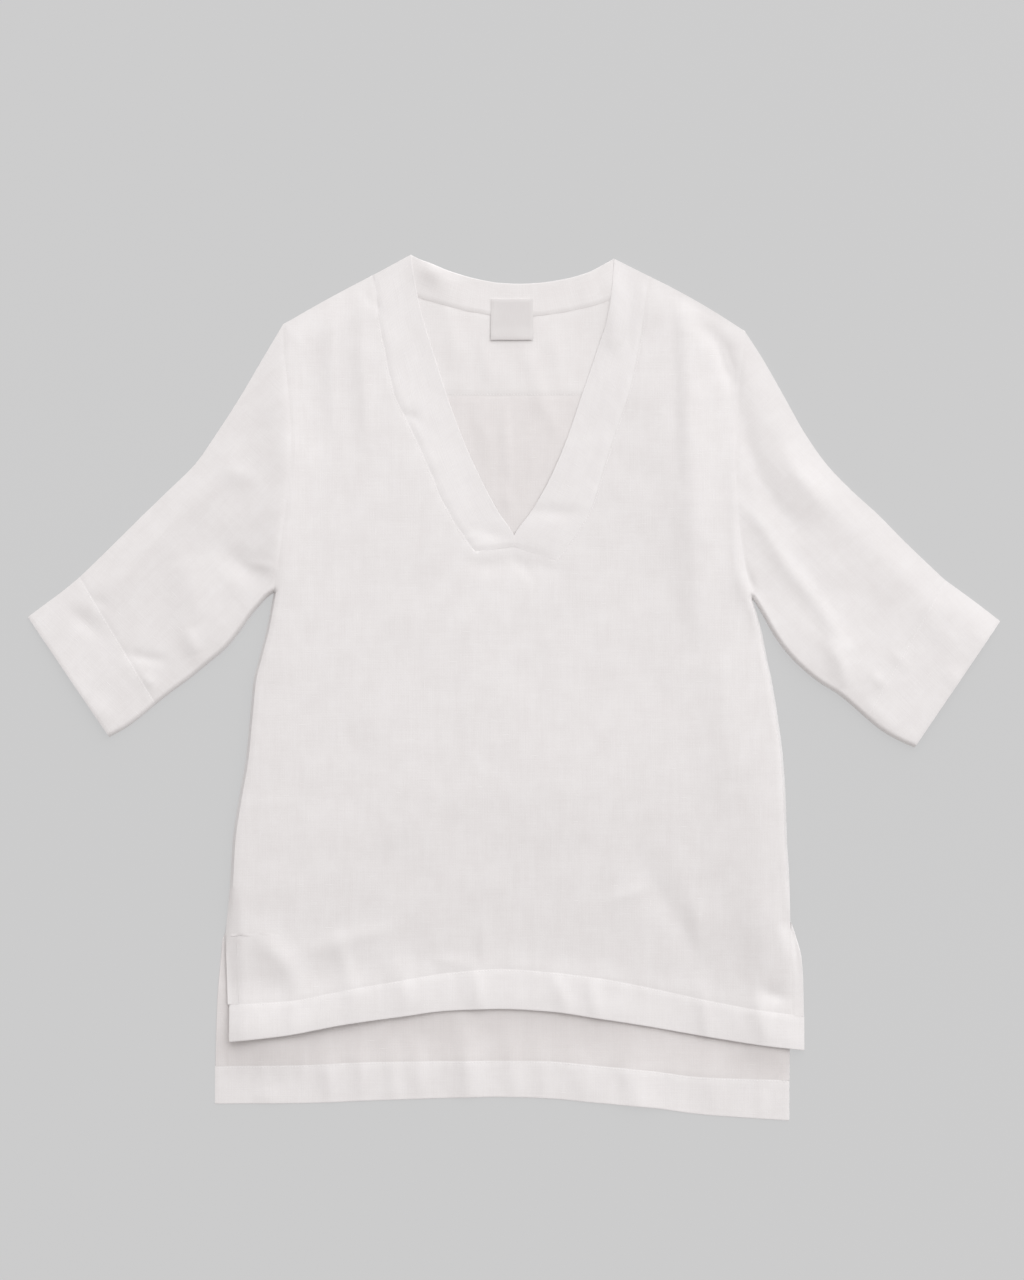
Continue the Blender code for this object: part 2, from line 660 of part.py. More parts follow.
def hem_grid(rows, top, bottom, columns):
    """Sections down a hem, from its stitched line to its fold."""
    xs = [mix(rows[0].x, rows[-1].x, share) for share in even(columns)]
    return [[(x, mix(top(x), bottom(x), share)) for x in xs] for share in (0.0, 0.5, 1.0)]


def slit_grid(edge, inner, first_down, last_down):
    """Sections down the turned edge of a slit, between its fold and its stitched line."""
    grid = []
    for share in even(SLIT_ROWS):
        down = mix(first_down, last_down, share)
        pair = sorted((edge(down), inner(down)))
        grid.append([(pair[0], down), ((pair[0] + pair[1]) / 2, down), (pair[1], down)])
    return grid


def add_panels(outer_linen, inner_linen):
    sheet("back_panel", back_grid(), lower_layer, CLOTH, inner_linen)
    sheet("back_yoke", yoke_grid(), lower_layer, CLOTH, inner_linen)
    sheet("front_panel", front_grid(), upper_layer, CLOTH, outer_linen)


def add_neckbands(outer_linen):
    sheet("neckband_back", back_band_grid(), lower_layer, CLOTH, outer_linen)
    for side, fold in (("left", FOLD_LEFT), ("right", FOLD_RIGHT)):
        grid = front_band_grid(fold, f"{side}_x", f"{side}_down")
        sheet(f"neckband_{side}", grid, upper_layer, DOUBLED, outer_linen)


def add_sleeves(outer_linen):
    for side, sign, sleeve, cuff in (
        ("left", -1, SLEEVE_LEFT, CUFF_LEFT), ("right", 1, SLEEVE_RIGHT, CUFF_RIGHT)
    ):
        tube(f"sleeve_{side}", finer(sleeve, 2), sign, CLOTH, outer_linen)
        tube(f"cuff_{side}", finer(cuff, 1), sign, DOUBLED, outer_linen)


def add_hems(outer_linen, inner_linen):
    sheet("front_hem", hem_grid(FRONT_HEM, front_hem_top, front_hem_bottom, HEM_COLUMNS),
          upper_layer, DOUBLED, outer_linen)
    sheet("back_hem", hem_grid(BACK_HEM, back_hem_top, back_hem_bottom, HEM_COLUMNS),
          lower_layer, DOUBLED, inner_linen)


def add_slit_hems(outer_linen, inner_linen):
    front_left_end = front_hem_top(FRONT_SLIT_LEFT_X[-1]) - SLIT_END_GAP
    front_right_end = front_hem_top(FRONT_SLIT_RIGHT_X[-1]) - SLIT_END_GAP_RIGHT
    back_left_end = back_hem_top(BACK_SLIT_LEFT_X[-1]) - SLIT_END_GAP
    back_right_end = back_hem_top(BACK_SLIT_RIGHT_X[-1]) - SLIT_END_GAP
    sheet("slit_hem_front_left",
          slit_grid(front_slit_left, lambda down: front_slit_left(down) + SLIT_HEM - SEAM_GAP,
                    FRONT_SLIT_LEFT_DOWN[0], front_left_end),
          upper_layer, CLOTH, outer_linen)
    sheet("slit_hem_front_right",
          slit_grid(front_slit_right, lambda down: FRONT[-1].right_x + SEAM_GAP,
                    FRONT_SLIT_RIGHT_DOWN[0], front_right_end),
          upper_layer, CLOTH, outer_linen)
    sheet("slit_hem_back_left",
          slit_grid(back_slit_left, lambda down: back_slit_left(down) + SLIT_HEM,
                    BACK_SLIT_DOWN[0], back_left_end),
          lower_layer, CLOTH, inner_linen)
    sheet("slit_hem_back_right",
          slit_grid(back_slit_right, lambda down: back_slit_right(down) - SLIT_HEM,
                    BACK_SLIT_DOWN[0], back_right_end),
          lower_layer, CLOTH, inner_linen)


def add_label(label_cloth):
    shares = even(LABEL_CELLS)
    xs = [mix(LABEL_LEFT, LABEL_RIGHT, share) for share in shares]
    grid = [[(x, mix(LABEL_TOP, LABEL_BOTTOM, share)) for x in xs] for share in shares]
    sheet("neck_label", grid, on_back, LABEL_WALL, label_cloth)


def main():
    for thing in list(bpy.data.objects):
        bpy.data.objects.remove(thing, do_unlink=True)
    outer_linen = linen("white_linen", (0.86, 0.85, 0.84), 0.85)
    inner_linen = linen("white_linen_inside", (0.80, 0.78, 0.76), 0.88)
    label_cloth = linen("woven_label", (0.78, 0.77, 0.74), 0.6)
    add_panels(outer_linen, inner_linen)
    add_neckbands(outer_linen)
    add_sleeves(outer_linen)
    add_hems(outer_linen, inner_linen)
    add_slit_hems(outer_linen, inner_linen)
    add_label(label_cloth)


main()
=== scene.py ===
"""White linen tunic laid flat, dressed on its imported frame: cloth, seams, stitches and a plain studio.

The tables are in millimetres: x is measured from the centre front line, and down is measured from
the high point of the shoulder towards the hem. Left and right are as seen from above.
"""
import math
from collections import namedtuple

import bmesh
import bpy
import numpy as np
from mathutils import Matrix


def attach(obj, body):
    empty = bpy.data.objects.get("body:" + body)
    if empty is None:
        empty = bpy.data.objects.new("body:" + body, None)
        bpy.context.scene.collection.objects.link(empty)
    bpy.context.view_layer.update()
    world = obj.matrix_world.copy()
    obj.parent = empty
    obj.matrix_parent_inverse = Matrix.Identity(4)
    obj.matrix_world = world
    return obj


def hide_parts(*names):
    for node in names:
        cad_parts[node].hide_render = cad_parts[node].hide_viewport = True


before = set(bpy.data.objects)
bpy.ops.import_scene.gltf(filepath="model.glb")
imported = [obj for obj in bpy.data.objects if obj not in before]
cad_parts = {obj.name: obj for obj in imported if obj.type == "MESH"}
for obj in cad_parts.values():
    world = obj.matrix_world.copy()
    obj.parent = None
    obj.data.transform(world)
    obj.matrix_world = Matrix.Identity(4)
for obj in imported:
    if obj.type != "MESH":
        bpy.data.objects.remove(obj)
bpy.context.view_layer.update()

# Driving sizes, in millimetres
MM = 0.001
HIGH_POINT_Y = 411.0      # how far the shoulder's high point lies from the origin
LINEN = 0.6               # one layer of cloth
LINEN_DOUBLE = 1.1        # cloth that is turned or cut double
UPPER_FLOOR = 1.4         # underside of the upper layer along the closed edges
TURN_UP = 0.2             # how far the lower layer turns up along them
AIR = 3.2                 # how far the front lies above the back away from its edges
UPPER_ROUND = 30.0        # how far in from the shoulders and the sleeves' upper edges the front rises
LOWER_ROUND = 4.5         # the same from the sleeves' lower edges and the side seams
SLEEVE_FALL = 0.4         # share of that air that is gone out in the sleeves
NECK_FALL = 0.72          # share of that air that is gone at the neckband's fold
NECK_REACH = 36.0         # how far from the fold that can be felt
SEAM_DITCH = 0.22         # how deep the cloth is drawn down along a seam
DITCH_REACH = 2.4         # how far from a seam that can be felt
BAND_STEP = 0.7           # how much higher the neckband lies than the yoke that it is sewn to
PLUMP = 0.35              # how much higher double cloth lies a little way from its seam
TUCK = 0.5                # how far a piece runs on under its neighbour at a seam
TUCK_DROP = 0.9           # how much lower it lies there
BARE_GAP = 0.15           # space between the neckband and the back that it rests on
STITCH_PITCH = 2.8        # from one stitch to the next
STITCH_LENGTH = 2.1
STITCH_WIDTH = 0.42
STITCH_IN = 1.4           # how far a row of stitches lies from its seam
SLIT_DOWN = 644.0         # top of the side slits
SLIT_OPENING = 44.0       # how far below there the front's edge has come away from the back's
SLIT_HEM = 10.5           # width of the turned edge of a slit
SLIT_FALL = 0.6           # share of its air that the front has lost at the edge of a slit
SLIT_REACH = 17.0         # how far in from there that can be felt
LIFT_REACH = 60.0         # how far up the front the lifted hem can be felt
CELL = 2.9                # size of the grids' cells
BOW_LEFT, BOW_RIGHT = 1.0, 2.4      # how far the shoulders swell past a straight line
SLEEVE_GRAIN = math.radians(46)     # the way that a sleeve's cloth runs, down from the side
RIM_ANGLE = math.radians(42)        # edges sharper than this show as edges

Front = namedtuple("Front", "left_x left_down right_x right_down neck_share hem_share")
Neck = namedtuple("Neck", "left_x left_down right_x right_down")
Inner = namedtuple("Inner", "row x down")
Band = namedtuple("Band", "inner_x inner_down outer_x outer_down")
Ring = namedtuple("Ring", "upper_x upper_down lower_x lower_down armhole_share")
Hem = namedtuple("Hem", "x top bottom")
Crease = namedtuple("Crease", "path width height")
Lift = namedtuple("Lift", "x height")
Lie = namedtuple("Lie", "down height")
Shift = namedtuple("Shift", "x down")

# Outer edges of the front: the armhole down to the underarm, then the side seam down to the slit.
# neck_share says how much a row follows the bottom of the neck, hem_share how much the hem line.
FRONT = (
    Front(-219.5, 66.5, 219.5, 73.0, 0.0, 0.0),
    Front(-218.5, 92.0, 216.6, 100.0, 0.0, 0.0),
    Front(-214.7, 123.5, 213.8, 128.0, 0.0, 0.0),
    Front(-212.0, 155.0, 212.3, 157.0, 0.0, 0.0),
    Front(-211.0, 183.5, 211.4, 185.0, 0.0, 0.0),
    Front(-212.8, 212.0, 211.0, 214.0, 0.0, 0.0),
    Front(-216.3, 240.5, 212.6, 242.0, 0.0, 0.0),
    Front(-219.8, 269.0, 215.7, 271.0, 0.0, 0.0),
    Front(-224.2, 299.5, 220.4, 299.5, 1.0, 0.0),
    Front(-228.0, 321.0, 226.1, 326.0, 0.6, 0.0),
    Front(-234.7, 356.0, 234.7, 356.0, 0.25, 0.0),
    Front(-242.3, 385.0, 240.4, 385.0, 0.0, 0.0),
    Front(-247.0, 404.0, 244.5, 404.0, 0.0, 0.05),
    Front(-250.8, 442.0, 250.8, 442.0, 0.0, 0.12),
    Front(-254.6, 480.0, 255.6, 480.0, 0.0, 0.2),
    Front(-261.3, 518.0, 258.0, 518.0, 0.0, 0.32),
    Front(-267.0, 556.0, 259.2, 556.0, 0.0, 0.46),
    Front(-269.3, 594.0, 261.3, 594.0, 0.0, 0.62),
    Front(-272.7, 632.0, 262.2, 632.0, 0.0, 0.78),
    Front(-274.2, 645.4, 263.0, 642.5, 0.0, 0.82),
    Front(-264.0, 646.2, 263.0, 645.5, 0.0, 0.84),
    Front(-262.4, 680.0, 263.0, 683.0, 0.0, 0.93),
    Front(-261.0, 710.0, 263.0, 720.0, 0.0, 1.0),
)

# The neck's cut edge in the front, where the neckband is sewn on, for the first rows above
NECK = (
    Neck(-133.0, 19.0, 127.3, 20.0),
    Neck(-128.3, 59.0, 122.6, 62.0),
    Neck(-121.6, 95.0, 115.9, 100.0),
    Neck(-114.0, 130.0, 107.8, 134.0),
    Neck(-98.5, 163.0, 95.5, 170.0),
    Neck(-82.0, 199.5, 85.0, 202.5),
    Neck(-66.5, 235.5, 74.1, 237.5),
    Neck(-50.4, 263.0, 58.0, 266.0),
    Neck(-37.1, 282.0, 39.9, 290.0),
)
NECK_BOTTOM = len(NECK) - 1
NECK_POINT_DOWN = 277.5
SLIT_ROW = next(i for i, row in enumerate(FRONT) if row.left_down > SLIT_DOWN)

# The folded inner edge of the neckband, from the shoulder down to its squared end under the V.
# row counts along the rows of the neck's cut edge.
FOLD_LEFT = (
    Inner(0, -97.9, 0.0),
    Inner(1, -94.0, 26.5),
    Inner(2, -87.4, 58.0),
    Inner(3, -77.0, 92.0),
    Inner(4, -61.8, 139.5),
    Inner(5, -47.5, 177.5),
    Inner(6, -30.4, 215.5),
    Inner(7, -15.2, 244.0),
    Inner(7.5, 0.3, 268.0),
    Inner(8, 0.3, 277.2),
)
FOLD_RIGHT = (
    Inner(0, 95.0, 3.8),
    Inner(1, 93.1, 28.5),
    Inner(2, 88.4, 60.0),
    Inner(3, 78.9, 90.5),
    Inner(4, 63.7, 135.0),
    Inner(5, 50.4, 174.0),
    Inner(6, 33.3, 214.0),
    Inner(7, 16.2, 244.0),
    Inner(7.5, -0.3, 268.0),
    Inner(8, -0.3, 277.2),
)

# The neckband round the back of the neck, from fold to seam
BAND_BACK = (
    Band(-97.9, 0.0, -133.0, 19.0),
    Band(-90.3, 4.0, -112.0, 32.0),
    Band(-79.8, 8.0, -91.2, 40.5),
    Band(-62.7, 15.0, -70.3, 47.0),
    Band(-36.1, 22.8, -39.9, 54.5),
    Band(-13.3, 26.8, -13.3, 58.3),
    Band(5.7, 27.6, 5.7, 59.0),
    Band(24.7, 26.6, 29.5, 57.3),
    Band(49.4, 22.8, 58.0, 52.5),
    Band(71.0, 16.5, 82.0, 46.5),
    Band(84.5, 9.5, 105.0, 36.0),
    Band(95.0, 3.8, 127.3, 20.0),
)
YOKE_SEAM_DOWN = 134.0

# Rings of the sleeves, from the armhole to the seam of the cuff, and of the cuffs. armhole_share
# says how much a ring still has of the armhole's curve.
SLEEVE_LEFT = (
    Ring(-219.5, 66.5, -228.0, 321.0, 1.0),
    Ring(-239.4, 100.0, -233.7, 325.0, 0.7),
    Ring(-260.3, 135.5, -241.3, 333.0, 0.4),
    Ring(-282.2, 169.5, -250.8, 344.5, 0.2),
    Ring(-303.0, 199.0, -260.3, 358.0, 0.0),
    Ring(-326.8, 222.5, -273.6, 374.0, 0.0),
    Ring(-350.6, 245.5, -290.7, 388.5, 0.0),
    Ring(-374.3, 269.0, -307.8, 402.5, 0.0),
    Ring(-395.2, 289.5, -324.9, 415.0, 0.0),
    Ring(-412.3, 306.0, -339.5, 426.5, 0.0),
)
CUFF_LEFT = (
    SLEEVE_LEFT[-1],
    Ring(-429.4, 320.0, -354.5, 439.0, 0.0),
    Ring(-445.6, 332.0, -368.8, 449.5, 0.0),
    Ring(-461.7, 344.0, -384.0, 458.0, 0.0),
)
SLEEVE_RIGHT = (
    Ring(219.5, 73.0, 226.1, 326.0, 1.0),
    Ring(235.6, 98.0, 230.9, 333.5, 0.7),
    Ring(255.6, 133.0, 238.5, 347.0, 0.4),
    Ring(275.5, 168.5, 247.0, 362.0, 0.2),
    Ring(296.4, 198.5, 259.4, 379.0, 0.0),
    Ring(320.2, 223.5, 275.5, 395.0, 0.0),
    Ring(344.9, 246.0, 290.7, 407.0, 0.0),
    Ring(369.6, 271.0, 305.4, 416.0, 0.0),
    Ring(391.4, 292.0, 319.4, 427.0, 0.0),
    Ring(409.5, 309.0, 333.4, 439.5, 0.0),
)
CUFF_RIGHT = (
    SLEEVE_RIGHT[-1],
    Ring(427.5, 322.0, 348.8, 452.0, 0.0),
    Ring(445.6, 335.5, 364.4, 461.0, 0.0),
    Ring(461.7, 348.0, 380.0, 468.0, 0.0),
)

# The deep hems, turned to the inside: the stitched line and the folded edge
FRONT_HEM = (
    Hem(-270.0, 711.5, 747.0),
    Hem(-213.0, 708.0, 740.5),
    Hem(-165.0, 699.0, 731.5),
    Hem(-108.0, 689.0, 723.5),
    Hem(-61.0, 681.5, 717.5),
    Hem(-13.0, 678.0, 716.0),
    Hem(34.0, 681.0, 718.5),
    Hem(82.0, 687.0, 725.5),
    Hem(129.0, 696.0, 733.0),
    Hem(177.0, 706.5, 741.5),
    Hem(224.0, 715.5, 749.0),
    Hem(275.5, 723.0, 755.5),
)
BACK_HEM = (
    Hem(-284.0, 770.5, 806.5),
    Hem(-203.0, 769.5, 806.0),
    Hem(-137.0, 766.7, 803.5),
    Hem(-61.0, 765.7, 801.0),
    Hem(-13.0, 765.5, 800.0),
    Hem(25.0, 765.7, 801.0),
    Hem(82.0, 770.5, 806.0),
    Hem(129.0, 775.0, 810.0),
    Hem(177.0, 781.0, 816.5),
    Hem(261.5, 784.0, 822.5),
)

# Edges of the back beside its slits: x of the left and of the right edge, by down
BACK_SLIT_DOWN = (651.0, 711.0, 771.0, 785.0)
BACK_SLIT_LEFT_X = (-277.0, -282.0, -283.6, -283.8)
BACK_SLIT_RIGHT_X = (262.4, 262.2, 261.8, 261.7)

# Edges of the front beside its slits, by down
FRONT_SLIT_LEFT_DOWN = (645.8, 669.0, 690.0, 722.0)
FRONT_SLIT_LEFT_X = (-274.3, -273.3, -272.6, -271.2)
FRONT_SLIT_RIGHT_DOWN = (634.0, 648.0, 669.0, 690.0, 722.0)
FRONT_SLIT_RIGHT_X = (263.3, 268.0, 273.2, 274.6, 275.2)

LABEL_LEFT, LABEL_RIGHT = -22.0, 18.0
LABEL_TOP, LABEL_BOTTOM = 42.0, 81.0
LABEL_WALL = 0.5

# Creases of the upper layer, listed one by one: soft ridges, or troughs where the height is negative
SHOULDER_CREASES = (
    Crease(((-222, 84), (-219, 140), (-216, 200), (-219, 262), (-222, 300)), 22, 3.2),
    Crease(((-223, 250), (-225, 290), (-231, 335)), 18, 2.6),
    Crease(((-172, 48), (-174, 100), (-172, 160)), 9, 1.2),
    Crease(((-144, 44), (-145, 95), (-142, 140), (-140, 178)), 9, 1.4),
    Crease(((-142, 36), (-138, 44)), 4, -0.7),
    Crease(((-131, 46), (-127, 54)), 4, -0.7),
    Crease(((-104, 151), (-92, 156)), 4, -0.9),
    Crease(((-44, 293), (-24, 296), (-6, 292)), 8, -1.2),
    Crease(((4, 293), (24, 296), (46, 302)), 9, -1.0),
    Crease(((-36, 262), (-8, 268)), 7, -0.8),
    Crease(((10, 243), (60, 246)), 7, -1.1),
    Crease(((0, 288), (8, 296), (18, 306)), 5, -0.8),
    Crease(((146, 40), (151, 62), (153, 140), (155, 214)), 8, -1.2),
    Crease(((162, 60), (165, 140), (168, 200), (172, 262)), 15, 2.4),
    Crease(((168, 140), (170, 220), (174, 310)), 26, 1.8),
    Crease(((180, 66), (196, 86), (207, 120)), 10, -3.1),
    Crease(((205, 111), (213, 143), (224, 185), (237, 216), (251, 240), (272, 263)), 11, -2.0),
    Crease(((209, 214), (208, 250), (211, 290), (217, 325)), 5, 0.9),
    Crease(((222, 302), (228, 320)), 4, -1.1),
    Crease(((168, 262), (171, 310), (174, 362)), 14, 1.5),
)
SLEEVE_CREASES = (
    Crease(((-272, 200), (-336, 271), (-389, 323)), 16, 1.6),
    Crease(((-277, 204), (-251, 212)), 9, 1.0),
    Crease(((-322, 290), (-308, 313), (-298, 351)), 19, 2.0),
    Crease(((-264, 326), (-310, 368), (-366, 412)), 30, 2.2),
    Crease(((-440, 398), (-405, 428)), 26, 1.6),
    Crease(((-275, 280), (-256, 297), (-234, 309)), 13, -2.4),
    Crease(((-251, 293), (-227, 297)), 4, 0.8),
    Crease(((-310, 356), (-301, 380)), 9, 1.7),
    Crease(((-365, 380), (-336, 385)), 6, -1.4),
    Crease(((-398, 325), (-386, 335)), 7, -1.1),
    Crease(((-420, 339), (-407, 349), (-395, 360)), 9, -1.6),
    Crease(((-405, 423), (-382, 444)), 11, 1.2),
    Crease(((-352, 400), (-340, 410)), 6, 0.9),
    Crease(((262, 197), (279, 223), (293, 240)), 13, 1.8),
    Crease(((310, 252), (357, 304), (405, 339)), 21, 0.9),
    Crease(((262, 348), (310, 386), (362, 432)), 28, 2.2),
    Crease(((244, 180), (268, 214), (300, 250)), 30, 1.6),
    Crease(((216, 238), (234, 257), (257, 294), (281, 324), (314, 371)), 9, 2.0),
    Crease(((211, 300), (236, 344), (254, 370)), 9, 1.2),
    Crease(((298, 366), (310, 390), (315, 413)), 9, 2.1),
    Crease(((331, 423), (348, 438), (371, 456)), 10, 1.0),
    Crease(((340, 398), (350, 410)), 6, 1.0),
    Crease(((362, 380), (372, 392)), 6, 0.8),
    Crease(((390, 342), (419, 375)), 12, 0.9),
    Crease(((409, 392), (425, 413)), 8, 1.0),
)
BODY_CREASES = (
    Crease(((-203, 603), (-140, 560), (-70, 518), (6, 508), (60, 520)), 30, 0.9),
    Crease(((195, 366), (199, 430), (204, 505)), 20, 1.8),
    Crease(((120, 575), (148, 620), (177, 670)), 14, -1.5),
    Crease(((90, 614), (106, 608), (122, 602)), 7, 0.8),
    Crease(((172, 610), (174, 655)), 8, 1.1),
    Crease(((230, 596), (236, 684)), 16, 1.6),
    Crease(((-240, 650), (-218, 672), (-204, 700)), 13, 2.8),
    Crease(((-196, 662), (-155, 650), (-116, 640)), 9, 1.2),
    Crease(((-72, 670), (-50, 672)), 6, 0.8),
    Crease(((-30, 632), (-28, 674)), 7, 0.8),
)
HEM_CREASES = (
    Crease(((-166, 652), (-158, 682), (-154, 712)), 9, 1.7),
    Crease(((-114, 664), (-106, 690), (-102, 718)), 14, 1.7),
    Crease(((-38, 676), (-35, 696), (-34, 718)), 8, 1.7),
    Crease(((40, 686), (44, 700), (48, 716)), 8, 1.3),
    Crease(((70, 690), (74, 706), (76, 722)), 7, 1.3),
    Crease(((178, 696), (180, 718), (182, 742)), 7, 1.4),
    Crease(((230, 700), (235, 724), (238, 748)), 9, 1.8),
    Crease(((238, 700), (257, 706)), 6, -1.8),
)
BROAD_SWELLS = (
    Crease(((-222, 120), (-218, 280), (-232, 430), (-238, 520)), 84, 4.4),
    Crease(((158, 60), (162, 200), (172, 330)), 50, 2.1),
    Crease(((222, 180), (217, 240), (220, 310)), 16, -1.2),
    Crease(((230, 400), (238, 520), (243, 700)), 44, 3.8),
)
CREASES = SHOULDER_CREASES + SLEEVE_CREASES + BODY_CREASES + HEM_CREASES + BROAD_SWELLS

# Creases of the layer beneath, where it shows in the neck and under the front's hem
LOWER_CREASES = (
    Crease(((-90, 6), (-78, 16), (-66, 22)), 12, 4.0),
    Crease(((-66, 20), (-66, 50)), 14, 1.2),
    Crease(((68, 14), (70, 56)), 11, 0.8),
    Crease(((99, 4), (95, 40), (91, 76)), 11, 3.0),
    Crease(((-28, 62), (-46, 104), (-56, 132)), 9, 0.9),
    Crease(((-62, 58), (-54, 100)), 8, 0.8),
    Crease(((-22, 58), (-28, 92), (-22, 124)), 6, 0.7),
    Crease(((8, 84), (20, 116), (26, 140), (42, 170)), 8, 0.8),
    Crease(((36, 76), (44, 120)), 8, 0.7),
    Crease(((-34, 142), (-22, 200)), 9, 0.8),
    Crease(((-9, 146), (-7, 204)), 6, 1.1),
    Crease(((-8, 222), (-5, 244)), 6, 0.9),
    Crease(((-148, 752), (-146, 776), (-144, 800)), 9, 1.6),
    Crease(((-178, 760), (-174, 802)), 9, 1.8),
    Crease(((-264, 744), (-236, 746), (-200, 736)), 23, 6.4),
    Crease(((-266, 700), (-265, 730)), 9, 2.6),
    Crease(((-175, 727), (-110, 715), (-50, 709), (0, 707), (60, 711), (130, 727)), 24, 4.0),
    Crease(((222, 748), (240, 750), (262, 752)), 17, 5.0),
    Crease(((-46, 730), (-45, 766), (-44, 806)), 13, 3.4),
    Crease(((-4, 740), (-2, 770), (0, 800)), 9, 1.4),
    Crease(((-92, 756), (-90, 800)), 9, 1.6),
    Crease(((-116, 758), (-114, 802)), 8, 1.5),
    Crease(((112, 768), (115, 790), (118, 816)), 20, 3.0),
    Crease(((92, 812), (116, 815), (142, 819)), 22, 2.6),
    Crease(((-236, 790), (-230, 812)), 14, 1.6),
    Crease(((64, 764), (66, 804)), 11, 1.5),
    Crease(((96, 770), (100, 808)), 10, -1.2),
    Crease(((26, 752), (28, 800)), 9, 1.0),
    Crease(((186, 756), (190, 815)), 13, 1.3),
    Crease(((232, 790), (236, 820)), 9, 0.8),
)

# How the front lies along the middle, and how much further down or up that is towards the sides
LIE = (
    Lie(60.0, -1.3), Lie(180.0, 0.1), Lie(300.0, 1.8), Lie(400.0, 3.4), Lie(475.0, 4.2), Lie(570.0, 2.2),
    Lie(690.0, -2.3), Lie(760.0, -2.4),
)
LIE_SHIFT = (
    Shift(-275.0, 125.0), Shift(-203.0, 95.0), Shift(-70.0, 25.0), Shift(6.0, 15.0),
    Shift(90.0, 20.0), Shift(170.0, 22.0), Shift(275.0, 50.0),
)

# How far the front's hem stands off the back, most at its left corner
FRONT_LIFT = (
    Lift(-272.0, 7.6), Lift(-240.0, 8.6), Lift(-190.0, 7.0), Lift(-130.0, 5.2), Lift(-60.0, 4.6),
    Lift(20.0, 4.4), Lift(80.0, 3.8), Lift(130.0, 2.6), Lift(177.0, 1.4), Lift(215.0, 3.2),
    Lift(242.0, 5.6), Lift(276.0, 3.0),
)
SLEEVES = {-1: SLEEVE_LEFT, 1: SLEEVE_RIGHT}


# Curves and distances, for single values or arrays of them

def smooth_curve(keys, values):
    """A curve through the values that never swings past them."""
    keys, values = np.asarray(keys, float), np.asarray(values, float)
    steps = np.diff(values) / np.diff(keys)
    before, after = steps[:-1], steps[1:]
    same_way = before * after > 0
    total = np.where(same_way, before + after, 1.0)
    inner = np.where(same_way, 2 * before * after / total, 0.0)
    slopes = np.concatenate(([steps[0]], inner, [steps[-1]]))

    def at(key):
        key = np.clip(key, keys[0], keys[-1])
        i = np.clip(np.searchsorted(keys, key, side="right") - 1, 0, len(steps) - 1)
        width = keys[i + 1] - keys[i]
        t = (key - keys[i]) / width
        return (
            values[i] * (1 + 2 * t) * (1 - t) ** 2
            + slopes[i] * width * t * (1 - t) ** 2
            + values[i + 1] * t * t * (3 - 2 * t)
            - slopes[i + 1] * width * t * t * (1 - t)
        )

    return at


def by_name(rows, key, value):
    """The curve of one named column of a table over another."""
    return smooth_curve([getattr(row, key) for row in rows], [getattr(row, value) for row in rows])


def mix(a, b, share):
    return a + (b - a) * share


def ease(share):
    """From 0 to 1 with soft ends."""
    share = np.clip(share, 0.0, 1.0)
    return share * share * (3 - 2 * share)


def nearest_on(path, x, down):
    """Distance from places to a path of points, and how far along the path's length that is."""
    path = np.asarray(path, float)
    lengths = np.hypot(*np.diff(path, axis=0).T)
    starts = np.concatenate(([0.0], np.cumsum(lengths)[:-1])) / lengths.sum()
    far, along = np.full(np.shape(x), 1e9), np.zeros(np.shape(x))
    for (x0, down0), (x1, down1), length, start in zip(path, path[1:], lengths, starts):
        run_x, run_down = x1 - x0, down1 - down0
        t = np.clip(((x - x0) * run_x + (down - down0) * run_down) / length ** 2, 0.0, 1.0)
        gap = np.hypot(x - x0 - t * run_x, down - down0 - t * run_down)
        closer = gap < far
        far = np.where(closer, gap, far)
        along = np.where(closer, start + t * length / lengths.sum(), along)
    return far, along


def smooth_path(points, steps=6):
    """More points between those of a path, on smooth curves through them."""
    numbers = np.arange(len(points))
    fine = np.linspace(0, len(points) - 1, (len(points) - 1) * steps + 1)
    return np.column_stack([smooth_curve(numbers, column)(fine) for column in zip(*points)])


armhole_left = by_name(FRONT, "left_down", "left_x")
armhole_right = by_name(FRONT, "right_down", "right_x")
front_hem_top = by_name(FRONT_HEM, "x", "top")
front_hem_bottom = by_name(FRONT_HEM, "x", "bottom")
back_hem_top = by_name(BACK_HEM, "x", "top")
back_hem_bottom = by_name(BACK_HEM, "x", "bottom")
front_lift = by_name(FRONT_LIFT, "x", "height")
front_lie = by_name(LIE, "down", "height")
lie_shift = by_name(LIE_SHIFT, "x", "down")
front_slit_left = smooth_curve(FRONT_SLIT_LEFT_DOWN, FRONT_SLIT_LEFT_X)
front_slit_right = smooth_curve(FRONT_SLIT_RIGHT_DOWN, FRONT_SLIT_RIGHT_X)
back_slit_left = smooth_curve(BACK_SLIT_DOWN, BACK_SLIT_LEFT_X)
back_slit_right = smooth_curve(BACK_SLIT_DOWN, BACK_SLIT_RIGHT_X)


def shoulder_bow(share, bow):
    """How far a shoulder's edge swells at a share of its length."""
    return bow * 4 * share * (1 - share)


